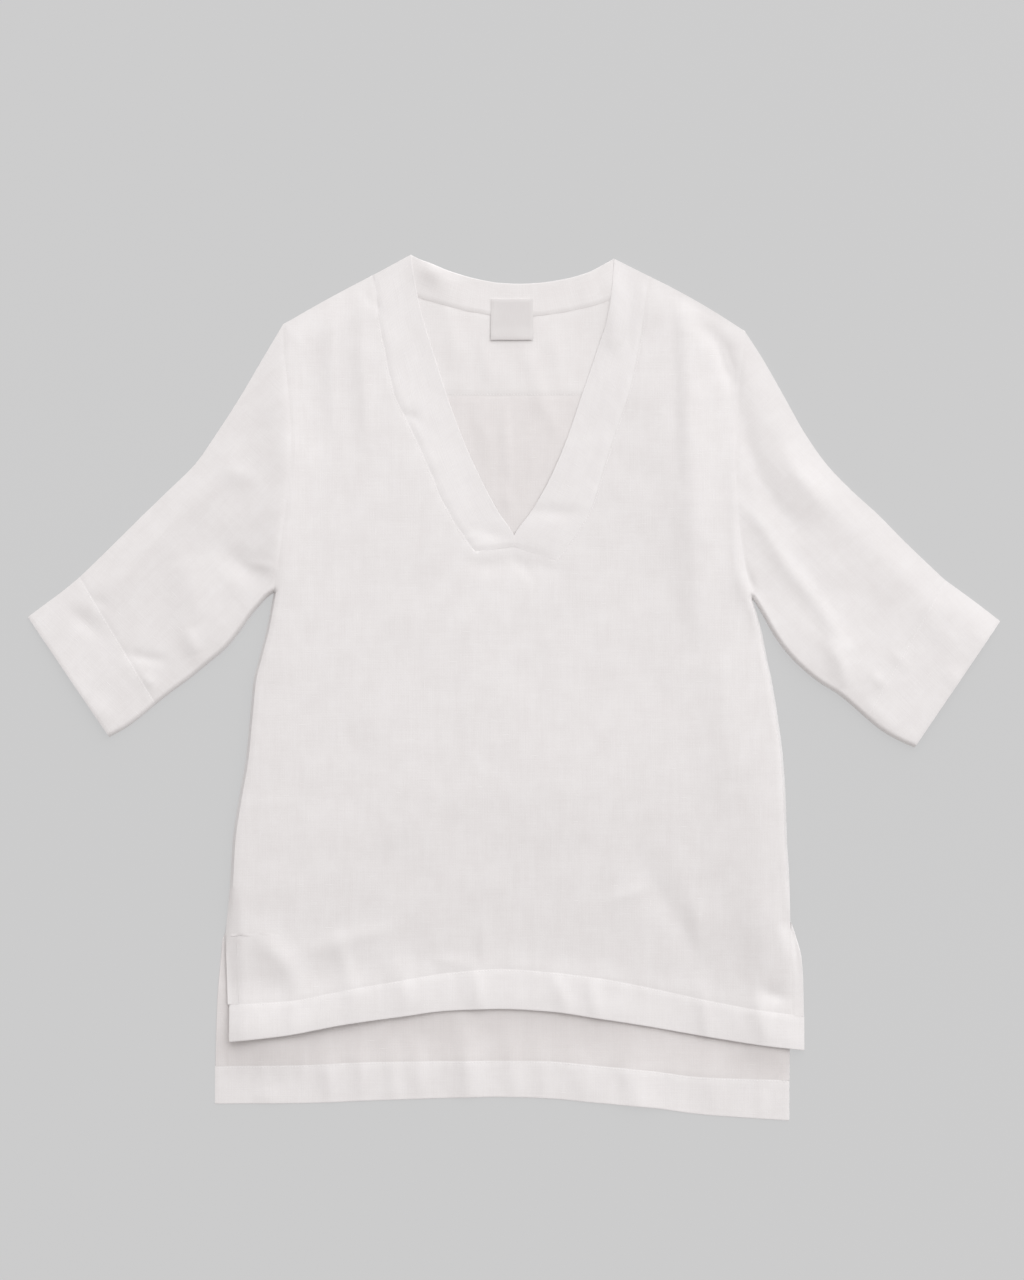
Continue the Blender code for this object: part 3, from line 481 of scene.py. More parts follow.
def closed_edges():
    """Where the front turns into the back: shoulders and sleeves above, sleeves and side seams below."""
    sides = (
        (FOLD_LEFT, SLEEVE_LEFT, CUFF_LEFT, "left_x", "left_down", FRONT_SLIT_LEFT_X, FRONT_SLIT_LEFT_DOWN),
        (FOLD_RIGHT, SLEEVE_RIGHT, CUFF_RIGHT, "right_x", "right_down", FRONT_SLIT_RIGHT_X, FRONT_SLIT_RIGHT_DOWN),
    )
    upper, lower = [], []
    for fold, sleeve, cuff, x, down, slit_x, slit_down in sides:
        rings = sleeve + cuff[1:]
        neck = (getattr(NECK[0], x), getattr(NECK[0], down))
        upper.append([(fold[0].x, fold[0].down), neck, (rings[0].upper_x, rings[0].upper_down)])
        upper.append(smooth_path([(ring.upper_x, ring.upper_down) for ring in rings], 3))
        lower.append(smooth_path([(ring.lower_x, ring.lower_down) for ring in rings], 3))
        seam = [(getattr(row, x), getattr(row, down)) for row in FRONT]
        seam = [p for p in seam if rings[0].lower_down <= p[1] < SLIT_DOWN - 12]
        slit = [p for p in zip(slit_x, slit_down) if p[1] > SLIT_DOWN]
        lower.append(smooth_path(seam + slit, 3))
    return upper, lower


UPPER_EDGES, LOWER_EDGES = closed_edges()
NECK_FOLDS = [smooth_path([(spot.x, spot.down) for spot in fold], 3) for fold in (FOLD_LEFT, FOLD_RIGHT)]


# Heights of the two layers

def soft_noise(x, down, seed):
    """Smooth noise from -1 to 1, with one knot in each unit of x and of down."""
    knots = np.random.default_rng(seed).uniform(-1.0, 1.0, (64, 64))
    column, row = np.floor(x).astype(int), np.floor(down).astype(int)
    s, t = ease(x - column), ease(down - row)
    corners = [knots[(row + j) % 64, (column + i) % 64] for j in (0, 1) for i in (0, 1)]
    return mix(mix(corners[0], corners[1], s), mix(corners[2], corners[3], s), t)


def rumple(x, down, seed):
    """The cloth's small unevenness that no crease accounts for."""
    turned_x, turned_down = 0.8 * x + 0.6 * down, 0.8 * down - 0.6 * x
    return (
        0.50 * soft_noise(x / 58, down / 74, seed)
        + 0.30 * soft_noise(turned_x / 25, turned_down / 31, seed + 1)
        + 0.08 * soft_noise(x / 11, down / 14, seed + 2)
    )


def creased(creases, x, down):
    """The creases' height, each at its fullest along the middle of its path."""
    height = np.zeros(np.shape(x))
    for crease in creases:
        path = smooth_path(crease.path)
        far, along = nearest_on(path, x, down)
        fullness = 0.35 + 0.65 * np.sin(np.pi * np.clip(along, 0.02, 0.98)) ** 0.7
        height += crease.height * fullness * np.exp(-np.abs(far / crease.width) ** 1.8)
    return height


def rise(x, down):
    """From 0 on a closed edge to 1 away from it: slowly from an upper edge, steeply from a lower one."""
    upper = np.min([nearest_on(path, x, down)[0] for path in UPPER_EDGES], axis=0)
    lower = np.min([nearest_on(path, x, down)[0] for path in LOWER_EDGES], axis=0)
    inward = (1 - np.clip(lower / LOWER_ROUND, 0.0, 1.0)) * (1 - ease((down - SLIT_DOWN) / SLIT_OPENING))
    return np.sin(np.pi / 2 * np.clip(upper / UPPER_ROUND, 0.0, 1.0)) * np.sqrt(1 - inward ** 2)


def hem_ripples(x, below, seed):
    """Short ripples across a hem that its stitching draws together. below is the way past the stitches."""
    near = np.exp(-(below / 9.0) ** 2)
    across = np.where(below > 0, 0.22, 0.10) * soft_noise(x / 9.5, below / 60 + 9, seed)
    return across * np.exp(-(below / 34.0) ** 2) + 0.12 * near * soft_noise(x / 4.2, below / 30 + 5, seed + 1)


def upper_layer(x, down):
    """Underside of the upper layer."""
    rising = rise(x, down)
    from_neck = np.min([nearest_on(path, x, down)[0] for path in NECK_FOLDS], axis=0)
    air = AIR * (1 - NECK_FALL * np.exp(-(from_neck / NECK_REACH) ** 2))
    air = air * (1 - SLEEVE_FALL * ease((np.abs(x) - 250.0) / 70.0)) + front_lie(down - lie_shift(x))
    lift = front_lift(x) * ease(1 - (front_hem_bottom(x) - down) / LIFT_REACH)
    below = down - front_hem_top(x)
    folds = creased(CREASES, x, down) + rumple(x, down, 11) + hem_ripples(x, below, 31)
    from_slit = np.minimum(x - front_slit_left(down), front_slit_right(down) - x)
    fallen = SLIT_FALL * (1 - ease(from_slit / SLIT_REACH)) * ease((down - SLIT_DOWN) / 70.0 + 1.0)
    return UPPER_FLOOR + rising * np.maximum(air + folds, 0.1) * (1 - fallen) + lift


def lower_layer(x, down):
    """Underside of the layer that lies on the ground: it turns up along the closed edges."""
    rising = rise(x, down)
    below = down - back_hem_top(x)
    folds = creased(LOWER_CREASES, x, down) + 0.7 * rumple(x, down, 51) + hem_ripples(x, below, 71)
    return np.maximum(TURN_UP * (1 - rising) + rising * folds * np.where(folds > 0, 1.0, 0.3), 0.02)


def ditch(distance, depth=SEAM_DITCH):
    """How far the cloth is drawn down at a distance from a seam."""
    return depth * np.exp(-(distance / DITCH_REACH) ** 2)


def plump(distance, height=PLUMP):
    """How much higher double cloth lies at a distance from its seam."""
    return height * ease(distance / 5.0)


def turned_edge(distance, radius):
    """How far a rounded fold has come down at a distance from its edge."""
    inward = 1 - np.clip(distance / radius, 0.0, 1.0)
    return radius * (1 - np.sqrt(1 - inward ** 2))


# Materials

class Value:
    """A socket of a material's nodes, for sums and products written as plain expressions."""

    def __init__(self, tree, socket):
        self.tree = tree
        self.socket = socket

    def apply(self, operation, *others):
        node = self.tree.nodes.new("ShaderNodeMath")
        node.operation = operation
        for slot, other in zip(node.inputs, (self,) + others):
            if isinstance(other, Value):
                self.tree.links.new(other.socket, slot)
            else:
                slot.default_value = other
        return Value(self.tree, node.outputs[0])

    def swapped(self, operation, other):
        node = self.tree.nodes.new("ShaderNodeMath")
        node.operation = operation
        node.inputs[0].default_value = other
        self.tree.links.new(self.socket, node.inputs[1])
        return Value(self.tree, node.outputs[0])

    def __add__(self, other):
        return self.apply("ADD", other)

    def __sub__(self, other):
        return self.apply("SUBTRACT", other)

    def __mul__(self, other):
        return self.apply("MULTIPLY", other)

    def __truediv__(self, other):
        return self.apply("DIVIDE", other)

    def __radd__(self, other):
        return self.apply("ADD", other)

    def __rsub__(self, other):
        return self.swapped("SUBTRACT", other)

    def __rmul__(self, other):
        return self.apply("MULTIPLY", other)

    def sine(self):
        return self.apply("SINE")

    def past(self, low, high):
        """From 0 at low to 1 at high, softly."""
        node = self.tree.nodes.new("ShaderNodeMapRange")
        node.interpolation_type = "SMOOTHSTEP"
        self.tree.links.new(self.socket, node.inputs["Value"])
        node.inputs["From Min"].default_value = low
        node.inputs["From Max"].default_value = high
        return Value(self.tree, node.outputs["Result"])


class Finish:
    """A material under construction."""

    def __init__(self, name):
        self.material = bpy.data.materials.new(name)
        self.material.use_nodes = True
        self.tree = self.material.node_tree
        self.surface = self.tree.nodes["Principled BSDF"]

    def node(self, kind, output, settings, inputs):
        """Adds a node with its settings and the values or links of its inputs, and gives one output."""
        node = self.tree.nodes.new(kind)
        for key, value in settings.items():
            setattr(node, key, value)
        for key, value in inputs.items():
            if isinstance(value, Value):
                self.tree.links.new(value.socket, node.inputs[key])
            else:
                node.inputs[key].default_value = value
        return Value(self.tree, node.outputs[output])

    def point(self, x, y, z=0.0):
        return self.node("ShaderNodeCombineXYZ", "Vector", {}, {"X": x, "Y": y, "Z": z})

    def noise(self, x, y, z=0.0, detail=2.0, roughness=0.5):
        """Noise about 0.5, with features one unit of x and y across."""
        return self.node("ShaderNodeTexNoise", 0, {"noise_dimensions": "3D"}, {
            "Vector": self.point(x, y, z), "Scale": 1.0, "Detail": detail, "Roughness": roughness})

    def blend(self, share, first, second):
        """From one colour to another."""
        return self.node("ShaderNodeMix", 2, {"data_type": "RGBA"}, {0: share, 6: first, 7: second})

    def set(self, **values):
        """Constants of the shader, set on its own sockets."""
        for key, value in values.items():
            self.surface.inputs[key.replace("_", " ").title()].default_value = value

    def feed(self, socket, value):
        self.tree.links.new(value.socket, self.surface.inputs[socket])


def linen(name, shade, bright, slub_share=1.0):
    """Washed linen in plain weave: uneven yarns both ways, sparse slubs, and patches of closer weave."""
    finish = Finish(name)
    uv = finish.node("ShaderNodeUVMap", "UV", {"uv_map": "cloth"}, {})
    split = finish.node("ShaderNodeSeparateXYZ", "X", {}, {"Vector": uv})
    across = split * 1000.0
    along = Value(finish.tree, split.socket.node.outputs["Y"]) * 1000.0

    warp = finish.noise(across / 0.8, along / 34.0)
    weft = finish.noise(across / 30.0, along / 0.8, 7.0)
    broad_warp = finish.noise(across / 5.0, along / 64.0, 3.0)
    broad_weft = finish.noise(across / 50.0, along / 5.0, 11.0)
    grain = finish.noise(across / 1.5, along / 1.7, 29.0, detail=1.0)
    patches = finish.noise(across / 19.0, along / 26.0, 5.0, detail=4.0, roughness=0.55)
    slubs = finish.noise(across / 13.0, along / 1.1, 17.0, detail=0.0).past(0.78, 0.88) * slub_share
    upright_slubs = finish.noise(across / 1.1, along / 16.0, 23.0, detail=0.0).past(0.81, 0.90) * slub_share

    tone = (
        0.5 + (warp - 0.5) * 0.55 + (weft - 0.5) * 0.5 + (broad_warp - 0.5) * 0.35 + (broad_weft - 0.5) * 0.25
        + (grain - 0.5) * 0.55 + (patches - 0.5) * 1.15 + slubs * 0.6 + upright_slubs * 0.35
    ).past(-0.1, 1.1)
    finish.feed("Base Color", finish.blend(tone, (*shade, 1.0), (*bright, 1.0)))

    pitch = math.pi / 0.72
    threads = (across * pitch).sine() * (along * pitch).sine()
    height = threads * 0.03 + warp * 0.08 + weft * 0.08 + slubs * 0.07 + upright_slubs * 0.05
    normal = finish.node("ShaderNodeBump", "Normal", {}, {"Strength": 0.8, "Distance": MM, "Height": height})
    finish.feed("Normal", normal)
    finish.feed("Roughness", 0.90 - tone * 0.10)
    finish.set(sheen_weight=0.12, sheen_roughness=0.5)
    finish.surface.inputs["Specular IOR Level"].default_value = 0.25
    return finish.material


def thread(name, colour):
    """Twisted sewing thread."""
    finish = Finish(name)
    uv = finish.node("ShaderNodeTexCoord", "Object", {}, {})
    twist = finish.node("ShaderNodeTexNoise", 0, {}, {"Vector": uv, "Scale": 2600.0, "Detail": 1.0})
    finish.feed("Base Color", finish.blend(
        twist, (*[c * 0.93 for c in colour], 1.0), (*colour, 1.0)))
    finish.set(roughness=0.55)
    return finish.material


def label_cloth(name):
    """A blank woven label: fine satin with a close ribbed weave and firmer edges."""
    finish = Finish(name)
    uv = finish.node("ShaderNodeUVMap", "UV", {"uv_map": "cloth"}, {})
    split = finish.node("ShaderNodeSeparateXYZ", "X", {}, {"Vector": uv})
    across = split * 1000.0
    along = Value(finish.tree, split.socket.node.outputs["Y"]) * 1000.0
    ribs = (along * (math.pi / 0.32)).sine() * 0.5 + 0.5
    yarns = finish.noise(across / 0.5, along / 9.0)
    tone = (0.35 + ribs * 0.2 + (yarns - 0.5) * 0.5).past(0.0, 1.0)
    finish.feed("Base Color", finish.blend(tone, (0.715, 0.700, 0.695, 1.0), (0.79, 0.78, 0.775, 1.0)))
    height = ribs * 0.03 + yarns * 0.02
    normal = finish.node("ShaderNodeBump", "Normal", {}, {"Strength": 0.6, "Distance": MM, "Height": height})
    finish.feed("Normal", normal)
    finish.set(roughness=0.48)
    return finish.material


WHITE = linen("white_linen", (0.810, 0.797, 0.792), (0.872, 0.866, 0.864))
WHITE_CUFF = linen("white_linen_cuff", (0.817, 0.805, 0.801), (0.877, 0.871, 0.869))
WHITE_DOUBLE = linen("white_linen_double", (0.828, 0.817, 0.814), (0.884, 0.878, 0.876))
# The back layer, seen through the neck opening and under the front's hem, takes darker and warmer copies of the
# white linen. This is painted shade for the shade that the back lies in under the front, not a different cloth.
BACK_PAINTED_SHADE = linen("white_linen_inside", (0.785, 0.764, 0.757), (0.842, 0.826, 0.820))
BACK_DOUBLE_PAINTED_SHADE = linen("white_linen_back_double_painted_shade", (0.825, 0.810, 0.804), (0.880, 0.872, 0.868))
THREAD = thread("sewing_thread", (0.93, 0.925, 0.92))
LABEL = label_cloth("woven_label")


# Cloth meshes

def cell_count(length, cell=CELL):
    return max(2, round(length / cell))


def crowded(count, power=1.7):
    """Shares from 0 to 1 that lie closer together at both ends."""
    share = np.linspace(-1.0, 1.0, count + 1)
    return 0.5 + 0.5 * np.sign(share) * (1 - (1 - np.abs(share)) ** power)


def cloth(name, x, down, top, wall, material, across, along, keep=None, closed=False):
    """A sheet over a grid of places, rows by columns, with its outer side at top, and its wall inwards.

    across and along are the places on the cut cloth, for the weave. keep leaves places out. closed
    joins the last column to the first, as round a sleeve.
    """
    rows, columns = x.shape
    bm = bmesh.new()
    bmesh.ops.create_grid(bm, x_segments=columns - 1, y_segments=rows - 1, size=0.5)
    weave = bm.loops.layers.uv.new("cloth")
    dropped = []
    for vert in bm.verts:
        i, j = round((vert.co.x + 0.5) * (columns - 1)), round((0.5 - vert.co.y) * (rows - 1))
        for loop in vert.link_loops:
            loop[weave].uv = (across[j, i] * MM, along[j, i] * MM)
        vert.co = (x[j, i] * MM, (HIGH_POINT_Y - down[j, i]) * MM, top[j, i] * MM)
        if keep is not None and not keep[j, i]:
            dropped.append(vert)
    bmesh.ops.delete(bm, geom=dropped, context="VERTS")
    if closed:
        bmesh.ops.remove_doubles(bm, verts=bm.verts, dist=0.001 * MM)
    bm.normal_update()
    highest = max(bm.faces, key=lambda face: face.calc_center_median().z)
    if highest.normal.z < 0:
        bmesh.ops.reverse_faces(bm, faces=bm.faces)
    bmesh.ops.solidify(bm, geom=bm.faces[:], thickness=wall * MM)
    for vert in bm.verts:
        vert.co.z = max(vert.co.z, 0.0)
    mesh = bpy.data.meshes.new(name)
    bm.to_mesh(mesh)
    bm.free()
    mesh.shade_smooth()
    mesh.set_sharp_from_angle(angle=RIM_ANGLE)
    mesh.materials.append(material)
    thing = bpy.data.objects.new(name, mesh)
    bpy.context.scene.collection.objects.link(thing)
    return thing


def spread(values, count):
    """A row of values repeated down."""
    return np.tile(values, (count, 1))


def tuck(places, side):
    """Runs a grid on under its neighbour past its first or last row or column.

    places holds the grids x, down and top, and any more that only run on.
    """
    axis = 0 if side in ("top", "bottom") else 1
    first = side in ("top", "left")
    edge, before = (0, 1) if first else (-1, -2)
    x, down = places[0], places[1]
    run_x = np.take(x, [edge], axis) - np.take(x, [before], axis)
    run_down = np.take(down, [edge], axis) - np.take(down, [before], axis)
    scale = TUCK / np.maximum(np.hypot(run_x, run_down), 1e-6)
    moves = [run_x * scale, run_down * scale, -TUCK_DROP] + [0.0] * (len(places) - 3)
    out = []
    for grid, move in zip(places, moves):
        extra = np.take(grid, [edge], axis) + move
        out.append(np.concatenate((extra, grid) if first else (grid, extra), axis=axis))
    return out


def neck_line():
    """The bottom of the front's neck opening, from armhole to armhole."""
    left, neck = FRONT[NECK_BOTTOM], NECK[NECK_BOTTOM]
    return (
        (left.left_x, left.left_down),
        (neck.left_x, neck.left_down),
        (0.0, NECK_POINT_DOWN),
        (neck.right_x, neck.right_down),
        (left.right_x, left.right_down),
    )


def front_sheet():
    """The front's grid: three groups of columns, of which the middle one starts under the V."""
    numbers = np.arange(len(FRONT))
    edge = {name: smooth_curve(numbers, [getattr(row, name) for row in FRONT]) for name in Front._fields}
    neck_numbers = np.arange(len(NECK))
    neck = {name: smooth_curve(neck_numbers, [getattr(row, name) for row in NECK]) for name in Neck._fields}
    line = neck_line()
    line_x, line_down = zip(*line)
    side_count, middle_count = cell_count(FRONT[-1].right_x - line_x[3]), cell_count(line_x[3] - line_x[1])
    sides = np.linspace(0, 1, side_count + 1)
    middle = np.linspace(0, 1, middle_count + 1)[1:-1]

    lengths = [row.left_down for row in FRONT]
    upper_rows = cell_count(lengths[NECK_BOTTOM] - lengths[0])
    lower_rows = cell_count(lengths[-1] - lengths[NECK_BOTTOM])
    downs = np.concatenate((
        np.linspace(lengths[0], lengths[NECK_BOTTOM], upper_rows + 1)[:-1],
        np.linspace(lengths[NECK_BOTTOM], lengths[-1], lower_rows + 1)))
    stations = np.interp(downs, lengths, numbers)
    stations[upper_rows] = NECK_BOTTOM
    jog = np.argmin(np.abs(stations - SLIT_ROW))
    stations[jog:jog + 2] = SLIT_ROW, SLIT_ROW + 1

    xs, ds, keep, sunk = [], [], [], []
    last = FRONT[-1]
    for number, station in enumerate(stations):
        left = (edge["left_x"](station), edge["left_down"](station))
        right = (edge["right_x"](station), edge["right_down"](station))
        if number < upper_rows:
            inner_left = (neck["left_x"](station), neck["left_down"](station))
            inner_right = (neck["right_x"](station), neck["right_down"](station))
            fade = max(0.0, 1 - station / 1.5)
            left_down = mix(left[1], inner_left[1], sides) - fade * shoulder_bow(sides, BOW_LEFT)
            right_down = mix(right[1], inner_right[1], sides) - fade * shoulder_bow(sides, BOW_RIGHT)
            middle_x = mix(inner_left[0], inner_right[0], middle)
            middle_down = mix(inner_left[1], inner_right[1], middle)
            under = (middle == middle[0]) | (middle == middle[-1])
            middle_x[0], middle_x[-1] = inner_left[0] + TUCK, inner_right[0] - TUCK
            if number == upper_rows - 1:
                middle_x = mix(line_x[1], line_x[3], middle)
                middle_down = np.interp(middle_x, line_x, line_down) - TUCK
                under = middle >= 0
            xs.append(np.concatenate((
                mix(left[0], inner_left[0], sides), middle_x, mix(right[0], inner_right[0], sides)[::-1])))
            ds.append(np.concatenate((left_down, middle_down, right_down[::-1])))
            keep.append(np.concatenate((sides >= 0, under, sides >= 0)))
            sunk.append(np.concatenate((0 * sides, TUCK_DROP * under, 0 * sides)))
        else:
            x = np.concatenate((
                mix(left[0], line_x[1], sides),
                mix(line_x[1], line_x[3], middle),
                mix(right[0], line_x[3], sides)[::-1]))
            down = mix(left[1], right[1], (x - left[0]) / (right[0] - left[0]))
            dip = np.interp(x, line_x, line_down)
            dip = dip - mix(line_down[0], line_down[-1], (x - line_x[0]) / (line_x[-1] - line_x[0]))
            hem = front_hem_top(x)
            hem = hem - mix(last.left_down, last.right_down, (x - last.left_x) / (last.right_x - last.left_x))
            xs.append(x)
            ds.append(down + edge["neck_share"](station) * dip + edge["hem_share"](station) * hem)
            keep.append(np.full(x.shape, True))
            sunk.append(0 * x)
    return np.array(xs), np.array(ds), np.array(keep), np.array(sunk)


NECK_SEAM_LEFT = smooth_path([(row.left_x, row.left_down) for row in NECK], 3)
NECK_SEAM_RIGHT = smooth_path([(row.right_x, row.right_down) for row in NECK], 3)
ARMHOLE_LEFT = smooth_path([(row.left_x, row.left_down) for row in FRONT[:NECK_BOTTOM + 2]], 3)
ARMHOLE_RIGHT = smooth_path([(row.right_x, row.right_down) for row in FRONT[:NECK_BOTTOM + 2]], 3)


def seams_near(x, down, paths):
    """How far the cloth is drawn down by the seams along some paths."""
    return np.max([ditch(nearest_on(path, x, down)[0]) for path in paths], axis=0)


def add_front():
    x, down, keep, sunk = front_sheet()
    band_end = neck_line()[1:4]
    drawn = seams_near(x, down, (NECK_SEAM_LEFT, NECK_SEAM_RIGHT, ARMHOLE_LEFT, ARMHOLE_RIGHT, band_end))
    drawn = np.maximum(drawn, ditch(down - front_hem_top(x)))
    top = upper_layer(x, down) + LINEN - drawn - sunk
    x, down, top, keep = tuck((x, down, top, keep), "bottom")
    return cloth("front", x, down, top, LINEN, WHITE, x, down, keep)


def band_rows():
    length = FRONT[NECK_BOTTOM].left_down - FRONT[0].left_down
    return np.linspace(0, NECK_BOTTOM, cell_count(length, 2.6) + 1)


def add_front_band(side, fold, sign):
    """A neckband of the front, between its fold and the seam."""
    numbers = np.arange(len(NECK))
    stations = band_rows()
    outer = [smooth_curve(numbers, [getattr(row, f"{side}_{name}") for row in NECK])(stations)
             for name in ("x", "down")]
    inner = [by_name(fold, "row", name)(stations) for name in ("x", "down")]
    shares = np.concatenate(([0.0, 0.004, 0.012, 0.025], np.linspace(0, 1, 19)[1:]))
    x = mix(inner[0][:, None], outer[0][:, None], shares[None, :])
    down = mix(inner[1][:, None], outer[1][:, None], shares[None, :])
    if sign > 0:
        x, down, shares = x[:, ::-1], down[:, ::-1], shares[::-1]
    width = np.hypot(outer[0] - inner[0], outer[1] - inner[1])[:, None]
    from_fold = shares[None, :] * width
    along = np.concatenate(([0.0], np.cumsum(np.hypot(np.diff(inner[0]), np.diff(inner[1])))))[:, None]
    pulled = 0.18 * soft_noise(along / 9.0 + 0 * x, from_fold / 40, 91 + sign)
    pulled = pulled * np.exp(-((width - from_fold) / 16.0) ** 2)
    from_end = along[-1] - along + 0 * x
    swell = PLUMP if sign < 0 else 0.4 * PLUMP
    top = upper_layer(x, down) + LINEN + pulled + plump(width - from_fold, swell) * ease(from_end / 5.0)
    top = top - np.maximum(ditch(width - from_fold), ditch(from_end)) - turned_edge(from_fold, 0.35)
    top = np.maximum(top, lower_layer(x, down) + 2 * LINEN_DOUBLE + BARE_GAP - turned_edge(from_fold, 0.35))
    return cloth(f"band_{side}", x, down, top, LINEN_DOUBLE, WHITE_DOUBLE, from_fold * sign, along + 0 * x)


def add_back_band():
    numbers = np.arange(len(BAND_BACK))
    stations = np.linspace(0, len(BAND_BACK) - 1, 81)
    band = [smooth_curve(numbers, column)(stations) for column in zip(*BAND_BACK)]
    shares = np.concatenate(([0.0, 0.006, 0.018, 0.04], np.linspace(0, 1, 13)[1:]))[:, None]
    x = mix(band[0][None, :], band[2][None, :], shares)
    down = mix(band[1][None, :], band[3][None, :], shares)
    width = np.hypot(band[2] - band[0], band[3] - band[1])[None, :]
    from_fold = shares * width
    along = np.concatenate(([0.0], np.cumsum(np.hypot(np.diff(band[0]), np.diff(band[1])))))[None, :]
    pulled = 0.16 * (1 + soft_noise(along / 8.0 + 0 * x, from_fold / 40, 97))
    pulled = pulled * np.exp(-((width - from_fold) / 12.0) ** 2)
    top = lower_layer(x, down) + LINEN_DOUBLE + pulled + BAND_STEP
    top = top - turned_edge(from_fold, 0.6) - turned_edge(width - from_fold, BAND_STEP)
    return cloth("band_back", x, down, top, LINEN_DOUBLE, BACK_DOUBLE_PAINTED_SHADE, along + 0 * x, from_fold)


def add_yoke():
    seam = [(row.outer_x, row.outer_down) for row in BAND_BACK]
    left, right = FRONT[0], FRONT[0]
    seam_x, seam_down = zip(*smooth_path(seam, 3))
    top_x = np.linspace(left.left_x, right.right_x, cell_count(right.right_x - left.left_x) + 1)
    line_x = (left.left_x,) + tuple(seam_x) + (right.right_x,)
    line_down = (left.left_down,) + tuple(seam_down) + (right.right_down,)
    top_down = np.interp(top_x, line_x, line_down)
    share = np.linspace(0, 1, cell_count(YOKE_SEAM_DOWN - 59) + 1)[:, None]
    left_x = armhole_left(mix(left.left_down, YOKE_SEAM_DOWN, share))
    right_x = armhole_right(mix(right.right_down, YOKE_SEAM_DOWN, share))
    across = (top_x - left.left_x) / (right.right_x - left.left_x)
    x = mix(left_x, right_x, across[None, :])
    down = mix(top_down[None, :], YOKE_SEAM_DOWN + 0 * x, share)
    drawn = np.maximum(ditch(YOKE_SEAM_DOWN - down), ditch(nearest_on(seam, x, down)[0]))
    top = lower_layer(x, down) + LINEN_DOUBLE + plump(YOKE_SEAM_DOWN - down, 0.2) - drawn
    x, down, top = tuck((x, down, top), "top")
    return cloth("yoke", x, down, top, LINEN, BACK_DOUBLE_PAINTED_SHADE, x, down)


def add_back():
    """The back from the seam of the yoke to the stitched line of its hem."""
    upper = np.linspace(YOKE_SEAM_DOWN, SLIT_DOWN, cell_count(SLIT_DOWN - YOKE_SEAM_DOWN, 4.0))
    lower = np.linspace(BACK_SLIT_DOWN[0], 771.0, cell_count(120.0, 3.2))
    lower = np.concatenate(([lower[0] - 0.5], lower))
    downs = np.concatenate((upper, lower))[:, None]
    left, right = armhole_left(downs), armhole_right(downs)
    beside = downs >= BACK_SLIT_DOWN[0]
    between = (downs > SLIT_DOWN) & ~beside
    left = np.where(between, BACK_SLIT_LEFT_X[0], left)
    right = np.where(between, BACK_SLIT_RIGHT_X[0], right)
    left = np.where(beside, back_slit_left(downs) + SLIT_HEM, left)
    right = np.where(beside, back_slit_right(downs) - SLIT_HEM, right)
    x = mix(left, right, np.linspace(0, 1, cell_count(500, 3.6) + 1)[None, :])
    reach = ease((downs - SLIT_DOWN) / (771.0 - SLIT_DOWN))
    down = downs + reach * (back_hem_top(x) - 771.0)
    drawn = np.maximum(ditch(down - YOKE_SEAM_DOWN), ditch(down - back_hem_top(x)))
    top = lower_layer(x, down) + LINEN_DOUBLE - drawn
    places = tuck((x, down, top), "top")
    x, down, top = tuck(places, "bottom")
    return cloth("back", x, down, top, LINEN, BACK_PAINTED_SHADE, x, down)


def add_hem(name, rows, layer, hem_top, hem_bottom, material, base, swell):
    """A deep hem from its stitched line to its rounded fold."""
    xs = np.linspace(rows[0].x, rows[-1].x, cell_count(rows[-1].x - rows[0].x, 2.4) + 1)
    shares = np.concatenate((np.linspace(0, 1, 14)[:-1], [0.96, 0.982, 0.994, 1.0]))[:, None]
    x = spread(xs, len(shares))
    down = mix(hem_top(x), hem_bottom(x), shares)
    depth = hem_bottom(x) - down
    from_end = np.minimum(x - xs[0], xs[-1] - x)
    uneven = 0.7 + 0.6 * soft_noise(x / 13.0, 0 * x, 83)
    top = layer(x, down) + base + plump(down - hem_top(x), swell) * uneven - ditch(down - hem_top(x))
    top = top - turned_edge(depth, 0.6) - turned_edge(from_end, 0.4)
    return cloth(name, x, down, top, LINEN_DOUBLE, material, x, down)


def add_slit_hem(name, edge, inner, first, last, layer, material, base, hollow=0.0, drawn=SEAM_DITCH):
    """The turned edge of a slit, between its fold and its stitched line."""
    downs = np.linspace(first, last, cell_count(last - first, 2.0) + 1)[:, None]
    pair = np.sort(np.concatenate((edge(downs), inner(downs) + 0 * downs), axis=1), axis=1)
    shares = crowded(10)[None, :]
    x = mix(pair[:, :1], pair[:, 1:], shares)
    down = downs + 0 * x
    from_fold = np.abs(x - edge(down))
    from_stitches = np.abs(x - inner(down))
    middle = mix(edge(down), inner(down), 0.5)
    top = layer(x, down) + base - hollow * np.exp(-((x - middle) / 2.4) ** 2 - ((down - first - 24.0) / 20.0) ** 2)
    top = top - turned_edge(from_fold, 0.5) - ditch(from_stitches, drawn)
    x, down, top = tuck((x, down, top), "right" if edge(first) < inner(first) else "left")
    return cloth(name, x, down, top, LINEN, material, x, down)


def ring_places(rings, sign, steps, columns):
    """Places on the rings of a sleeve from its upper to its lower edge, rows by columns."""
    armhole = armhole_left if sign < 0 else armhole_right
    numbers = np.arange(len(rings))
    stations = np.linspace(0, len(rings) - 1, steps + 1)[:, None]
    ring = Ring(*(smooth_curve(numbers, column)(stations) for column in zip(*rings)))
    shares = (1 - np.cos(np.pi * np.linspace(0, 1, columns + 1)))[None, :] / 2
    x, down = mix(ring.upper_x, ring.lower_x, shares), mix(ring.upper_down, ring.lower_down, shares)
    first, last = SLEEVES[sign][0].upper_down, SLEEVES[sign][0].lower_down
    straight = mix(armhole(first), armhole(last), shares)
    bow = armhole(mix(first, last, shares)) - straight
    return x + ring.armhole_share * bow, down


